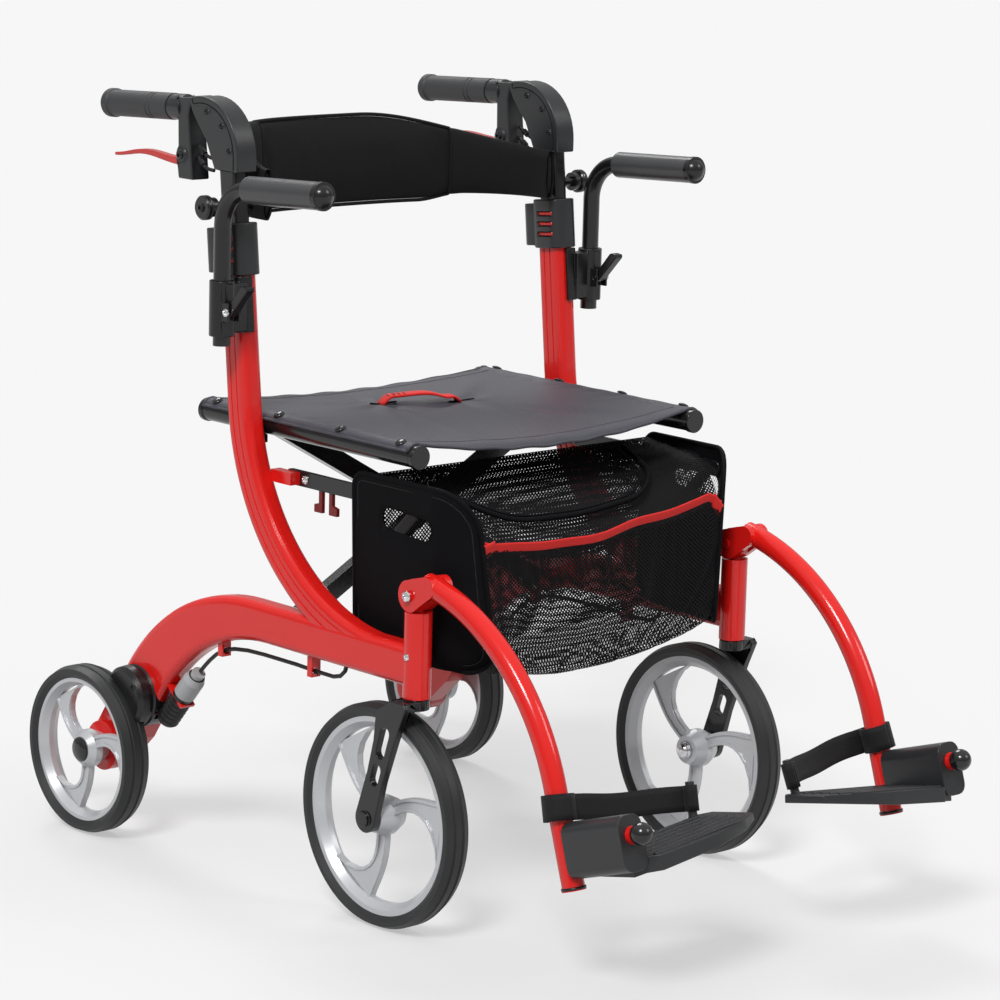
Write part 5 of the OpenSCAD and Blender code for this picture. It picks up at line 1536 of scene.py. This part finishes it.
@dataclass
class Footrest:
    """Webbing, ball, cap and screws of one footrest, in millimetres.

    Places are up from the hinge of the footplate, inward from it and forward of it. The heel strap runs from
    the leg to a post on the plate. The cap's profile and the ball's radius are in metres.
    """

    CAP = ((0.0, 0.0042), (0.0118, 0.0042), (0.0136, 0.0028), (0.0137, -0.0002), (0.0, -0.0002))

    side: Side
    hinge: tuple[float, float, float] = (246.0, -378.83, 163.38)
    pitch: float = math.radians(18.0)
    fall: float = math.radians(6.5)
    band: float = 28.0
    band_z: float = 38.0
    reach: float = 170.0
    leg_r: float = 16.8
    post_r: float = 6.6
    post_s: float = 22.0
    slack: float = 15.0
    ball_r: float = 0.0124
    ball_s: float = 119.0
    cap_up: float = -46.0

    def local(self, up: float, inward: float, forward: float) -> Vector:
        """A point of the footplate's hinge frame, in the row's frame.

        Args:
            up: distance up the plate's hinge frame, in millimetres.
            inward: distance towards the middle plane.
            forward: distance along the plate.

        Returns:
            The point in the row's frame.
        """
        x, y, z = self.hinge
        y += math.sin(self.pitch) * up - math.cos(self.pitch) * forward
        z += math.cos(self.pitch) * up + math.sin(self.pitch) * forward
        return self.side.at(x - inward, y, z)

    def strap(self, rise: float, inward: float, forward: float) -> Vector:
        """A point of the tilted heel strap's frame."""
        up = self.band_z + rise * math.cos(self.fall) - inward * math.sin(self.fall)
        return self.local(up, rise * math.sin(self.fall) + inward * math.cos(self.fall), forward)

    def build(self, maker: Maker) -> None:
        """Makes the strap and the covers.

        Args:
            maker: maker of pieces.
        """
        tag = self.side.tag
        across = self.strap(1, 0, 0) - self.strap(0, 0, 0)
        bow = self._bow()
        run = sum((second - first).length for first, second in zip(bow, bow[1:]))
        for name, path in (("loop", self._ring(0, 0, self.leg_r, 40)),
                           ("end", self._ring(self.reach, self.post_s, self.post_r, 24)), ("band", bow)):
            bm = maker.ribbon(path, lambda k: across, self.band / 1000)
            piece = maker.piece(bm, f"heel_{name}_{tag}", "webbing", thickness=0.0024)
            if name == "band":
                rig.replaces(piece, f"heel_strap_{tag}")
                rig.sheet(piece, flat=(run, self.band / 1000), held="stretched",
                         rests_on=[f"heel_loop_{tag}", f"heel_end_{tag}"])
                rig.blend(piece, f"leg_{tag}", f"plate_{tag}", self.local(30, 14, 0), self.local(5, 60, 0))
            else:
                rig.ride(piece, f"leg_{tag}" if name == "loop" else f"plate_{tag}")
        forward = (self.local(0, 0, 1) - self.local(0, 0, 0)).normalized()
        down = (self.local(-1, 0, 0) - self.local(0, 0, 0)).normalized()
        turns = [math.pi * k / 16 for k in range(17)]
        ball = [(self.ball_r * math.sin(a), -self.ball_r * math.cos(a)) for a in turns]
        for name, profile, place, axis, finish in (
                ("ball", ball, self.local(0, 0, self.ball_s), forward, "knob_black"),
                ("cap", self.CAP, self.local(self.cap_up, 0, 0), down, "black_plastic")):
            cover = maker.turned(profile, place, axis)
            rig.ride(maker.piece(cover, f"foot_{name}_{tag}", finish), f"leg_{tag}")
        outward = Vector((self.side.value, 0, 0))
        for name, place, radius, body in (("knee", (261.2, -133, 386), 0.0062, f"leg_{tag}"),
                                          ("head", (259.4, -133, 318), 0.0040, self.side.body)):
            maker.screw(f"{name}_screw_{tag}", self.side.at(*place), outward, radius, "bright_steel", body)

    def _ring(self, inward: float, forward: float, radius: float, steps: int) -> list[Vector]:
        """A loop of the heel strap round the leg or the post.

        Args:
            inward: place of its middle across the plate.
            forward: place of its middle along the plate.
            radius: radius of the loop.
            steps: steps of the full turn.

        Returns:
            The points in order.
        """
        turns = [math.tau * k / steps for k in range(steps + 1)]
        return [self.strap(0, inward + radius * math.sin(a), forward + radius * math.cos(a)) for a in turns]

    def _bow(self) -> list[Vector]:
        """The heel strap's free stretch, slack and a little wavy.

        Returns:
            The points in order.
        """
        steps, wave = 32, 1.5
        path = []
        for k in range(steps + 1):
            u = k / steps
            arch = math.sin(math.pi * u)
            back = self.post_s * u - (self.leg_r * (1 - u) + self.post_r * u) - self.slack * arch
            path.append(self.strap(wave * arch * math.sin(math.tau * 1.3 * u), self.reach * u, back))
        return path


@dataclass
class Upright:
    """Trim of one upright: clamp inserts, screws and the cables in the hood, in millimetres."""

    side: Side
    base: tuple[float, float] = (176.685, 549.78)
    lean: float = math.radians(5.7)
    clamp_up: float = 149.0
    clamp_len: float = 59.0
    insert: tuple[float, float] = (24.0, 4.4)
    insert_x: float = 17.6
    hood: tuple[float, float] = (245.05, 829.0)
    hood_half: float = 13.5
    hood_screw_r: float = 51.0
    hood_turns: tuple[float, ...] = (100.0, 135.0, 170.0)
    lever_pin: tuple[float, float, float] = (15.0, 38.0, -3.0)
    cable_at: tuple[float, float] = (231.0, 821.0)
    cable_run: float = 34.0

    def mast(self, across: float, back: float, up: float) -> Vector:
        """A point of the upright's own frame, in the row's frame.

        Args:
            across: distance outward from the tube's axis, in millimetres.
            back: distance behind the axis.
            up: distance along the axis.

        Returns:
            The point in the row's frame.
        """
        y = self.base[0] + up * math.sin(self.lean) + back * math.cos(self.lean)
        z = self.base[1] + up * math.cos(self.lean) - back * math.sin(self.lean)
        return self.side.at(FRAME_X + across, y, z)

    def build(self, maker: Maker) -> None:
        """Makes the trim.

        Args:
            maker: maker of pieces.
        """
        tag, body, handle = self.side.tag, self.side.body, f"handle_{self.side.tag}"
        outward = Vector((self.side.value, 0, 0))
        for face, way in (("a", -1), ("b", 1)):
            for k in range(3):
                bm = maker.sheet(self._insert(way, k), (self.insert[0] / 1000, self.insert[1] / 1000), (6, 2))
                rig.ride(maker.piece(bm, f"clamp_insert_{tag}{k}{face}", "lever_red", thickness=0.0006), body)
        back = (self.mast(0, 1, 0) - self.mast(0, 0, 0)).normalized()
        for name, place, axis, radius, finish, owner in (
                ("clamp", self.mast(0, 39.4, 176.7), back, 0.0042, "bright_steel", body),
                ("cam", self.side.at(292, 152, 663), outward, 0.0048, "bright_steel", f"cam_{tag}"),
                ("bracket", self.side.at(262.2, 190, 664), outward, 0.0042, "bright_steel", body),
                ("bar", self.side.at(213.4, 116, 475), -outward, 0.0052, "bright_steel", body),
                ("knob", self.side.at(292.1, 199.3, 776), outward, 0.0050, "black_plastic", handle)):
            maker.screw(f"{name}_screw_{tag}", place, axis, radius, finish, owner)
        for face, way in (("a", -1), ("b", 1)):
            for k, a in enumerate(math.radians(turn) for turn in self.hood_turns):
                dy, dz = self.hood_screw_r * math.cos(a), self.hood_screw_r * math.sin(a)
                place = self.side.at(FRAME_X + way * self.hood_half, self.hood[0] + dy, self.hood[1] + dz)
                maker.screw(f"hood_screw_{tag}{k}{face}", place, outward * way, 0.0024, "knob_black", handle)
            dx, dy, dz = self.lever_pin
            place = self.side.at(FRAME_X + way * dx, self.hood[0] + dy, self.hood[1] + dz)
            maker.screw(f"lever_screw_{tag}{face}", place, outward * way, 0.0050, "knob_black", handle)
        self._cables(maker, handle)

    def _insert(self, way: int, k: int) -> Place:
        """The face of a red insert in one of the clamp's slots.

        Args:
            way: -1 for the clamp's inner face, 1 for its outer one.
            k: number of the slot, from below.

        Returns:
            Its surface.
        """
        width, height = self.insert
        up = self.clamp_up + self.clamp_len * (0.29 + 0.21 * k)
        return lambda u, v: self.mast(way * self.insert_x, -3 + width * (u - 0.5), up + height * (v - 0.5))

    def _cables(self, maker: Maker, handle: str) -> None:
        """Two short cables between the hood and the brake block, with their ferrules.

        Args:
            maker: maker of pieces.
            handle: body of the handle.
        """
        tag, steps = self.side.tag, 14
        for k, (dy, dz) in enumerate(((0.0, 4.0), (7.0, -9.0))):
            path = []
            for t in (j / steps for j in range(steps + 1)):
                y = self.cable_at[0] + dy + (self.cable_run - dy) * t
                z = self.cable_at[1] + dz + 14 * t * t
                path.append(self.side.at(FRAME_X + 4 * math.sin(2.4 * t), y, z))
            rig.ride(maker.rod(path, 0.0022, f"hood_cable_{tag}{k}", "cable_jacket"), handle)
            ferrule = maker.tube([path[8], path[11]], 0.0036, 10)
            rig.ride(maker.piece(ferrule, f"hood_ferrule_{tag}{k}", "black_plastic", smooth=False), handle)


@dataclass
class Wheels:
    """Nut, cable barrel and screws of one side's wheels and brake. Profiles are in metres."""

    NUT = ((0.0, -0.0001), (0.0104, -0.0001), (0.0104, 0.0034), (0.0094, 0.0042), (0.0091, 0.0060),
           (0.0078, 0.0086), (0.0052, 0.0104), (0.0, 0.0112))
    BARREL = ((0.0, -0.0002), (0.0083, -0.0002), (0.0083, 0.006), (0.0103, 0.0062), (0.0133, 0.0142),
              (0.0133, 0.040), (0.0116, 0.0412), (0.0, 0.0412))

    side: Side

    def build(self, maker: Maker) -> None:
        """Makes the front nut, the barrel and the screws.

        Args:
            maker: maker of pieces.
        """
        tag = self.side.tag
        inward = Vector((-self.side.value, 0, 0))
        nut = maker.turned(self.NUT, self.side.at(225.7, -82.4, 127), inward)
        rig.ride(maker.piece(nut, f"front_nut_{tag}", "bright_steel"), f"caster_{tag}")
        axis = (self.side.at(FRAME_X, 0.66, -0.75) - self.side.at(FRAME_X, 0, 0)).normalized()
        barrel = maker.turned(self.BARREL, self.side.at(FRAME_X, 257, 221.5), axis)
        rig.ride(maker.piece(barrel, f"cable_barrel_{tag}", "barrel_grey", smooth=False), self.side.body)
        for name, place, radius, finish in (("cover_screw", (279.6, 337, 193.6), 0.0044, "black_plastic"),
                                            ("bar_bolt", (222.5, 92, 475), 0.0052, "bright_steel")):
            maker.screw(f"{name}_{tag}", self.side.at(*place), -inward, radius, finish, self.side.body)


class Studio:
    """Camera, soft light and floor."""

    CAMERA = (-2838.44, -3131.85, 1263.20)
    AZIMUTH, ELEVATION, ROLL = math.radians(-42.097), math.radians(10.996), math.radians(1.4945)
    LENS = 134.61
    # Brightness of the floor where it is seen, and of the sky: low down, overhead, mirrored and seen.
    GLOW = 0.46
    LOW, OVERHEAD, MIRRORED, SEEN = 0.16, 0.56, 0.12, 0.74
    # Each lamp's direction, spread in degrees, and strength.
    LAMPS = {"key": ((-0.75, -0.45, 0.95), 16, 1.95), "side": ((0.65, -0.85, 0.75), 20, 0.50),
             "rear": ((0.35, 0.75, 0.9), 20, 0.95)}

    def build(self) -> None:
        """Makes the whole stage."""
        self._camera()
        self._floor()
        self._lights()

    def _camera(self) -> None:
        """The photograph's camera."""
        a, e, r = self.AZIMUTH, self.ELEVATION, self.ROLL
        back = Vector((math.sin(a) * math.cos(e), -math.cos(a) * math.cos(e), math.sin(e)))
        right = Vector((math.cos(a), math.sin(a), 0))
        up = back.cross(right)
        turned = (right * math.cos(r) + up * math.sin(r), up * math.cos(r) - right * math.sin(r), back)
        camera = bpy.data.objects.new("camera", bpy.data.cameras.new("camera"))
        camera.data.lens, camera.data.sensor_width = self.LENS, 36.0
        camera.data.clip_end = 200
        camera.matrix_world = Matrix.Translation(at(*self.CAMERA)) @ Matrix(turned).transposed().to_4x4()
        bpy.context.scene.collection.objects.link(camera)
        bpy.context.scene.camera = camera

    @staticmethod
    def _mirrored(tree: bpy.types.NodeTree, seen: bpy.types.NodeOutputs) -> bpy.types.NodeSocket:
        """Whether a ray comes from a glossy or clear surface."""
        return NodeGroups.maths(tree, "MAXIMUM", seen["Is Glossy Ray"], seen["Is Transmission Ray"])

    def _floor(self) -> None:
        """A wide pale floor that keeps a soft shadow and throws little light back up."""
        material = bpy.data.materials.new("floor_paper")
        material.use_nodes = True
        tree = material.node_tree
        shader, seen = tree.nodes["Principled BSDF"], tree.nodes.new("ShaderNodeLightPath").outputs
        fill(shader, {"Base Color": (0.36, 0.36, 0.36, 1), "Roughness": 0.9, "Specular IOR Level": 0.0,
                      "Emission Color": (1, 1, 1, 1)})
        bright = NodeGroups.maths(tree, "MAXIMUM", seen["Is Camera Ray"], self._mirrored(tree, seen))
        glow = NodeGroups.maths(tree, "MULTIPLY", bright, self.GLOW)
        tree.links.new(glow, shader.inputs["Emission Strength"])
        bm = bmesh.new()
        bmesh.ops.create_grid(bm, x_segments=1, y_segments=1, size=60)
        mesh = bpy.data.meshes.new("floor")
        bm.to_mesh(mesh)
        bm.free()
        mesh.materials.append(material)
        floor = bpy.data.objects.new("floor", mesh)
        bpy.context.scene.collection.objects.link(floor)
        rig.stage(floor)

    def _lights(self) -> None:
        """A sky that is brighter overhead and pale where it is seen, and three soft lamps far away."""
        world = bpy.data.worlds.new("sky")
        world.use_nodes = True
        tree = world.node_tree
        where = tree.nodes.new("ShaderNodeTexCoord").outputs["Generated"]
        split = tree.nodes.new("ShaderNodeSeparateXYZ")
        tree.links.new(where, split.inputs[0])
        seen = tree.nodes.new("ShaderNodeLightPath").outputs
        upward = NodeGroups.maths(tree, "MAXIMUM", split.outputs["Z"], 0.0)
        level = NodeGroups.maths(tree, "MULTIPLY_ADD", upward, self.OVERHEAD, self.LOW)
        for share, strength in ((self._mirrored(tree, seen), self.MIRRORED),
                                (seen["Is Camera Ray"], self.SEEN)):
            level = NodeGroups.maths(tree, "MULTIPLY_ADD", share, strength, level)
        tree.links.new(level, tree.nodes["Background"].inputs["Strength"])
        fill(tree.nodes["Background"], {"Color": (1, 1, 1, 1)})
        bpy.context.scene.world = world
        for name, (way, spread, power) in self.LAMPS.items():
            lamp = bpy.data.lights.new(name, "SUN")
            lamp.angle, lamp.energy = math.radians(spread), power
            light = bpy.data.objects.new(name, lamp)
            light.rotation_euler = (-Vector(way)).to_track_quat("-Z", "Y").to_euler()
            bpy.context.scene.collection.objects.link(light)
        bpy.context.scene.view_settings.view_transform = "Standard"


def write_sizes() -> None:
    """Writes the CAD box and the dressed box."""
    boxes = {name: [list(corner) for corner in box] for name, box in (("cad", CAD_BOX), ("visual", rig.bounds()))}
    with open("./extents.json", "w") as target:
        json.dump(boxes, target, indent=1)


def main() -> None:
    """Builds the stage, the finishes and every sub-assembly in order."""
    logging.basicConfig(level=logging.INFO, format="%(message)s")
    Studio().build()
    palette = Palette()
    palette.dress_solids()
    maker = Maker(palette)
    maker.round_solids()
    for part in (SeatSling(), BackStrap(), Bag()):
        part.build(maker)
    for side in Side:
        for kind in (Footrest, Upright, Wheels):
            kind(side).build(maker)
    write_sizes()


if __name__ == "__main__":
    main()
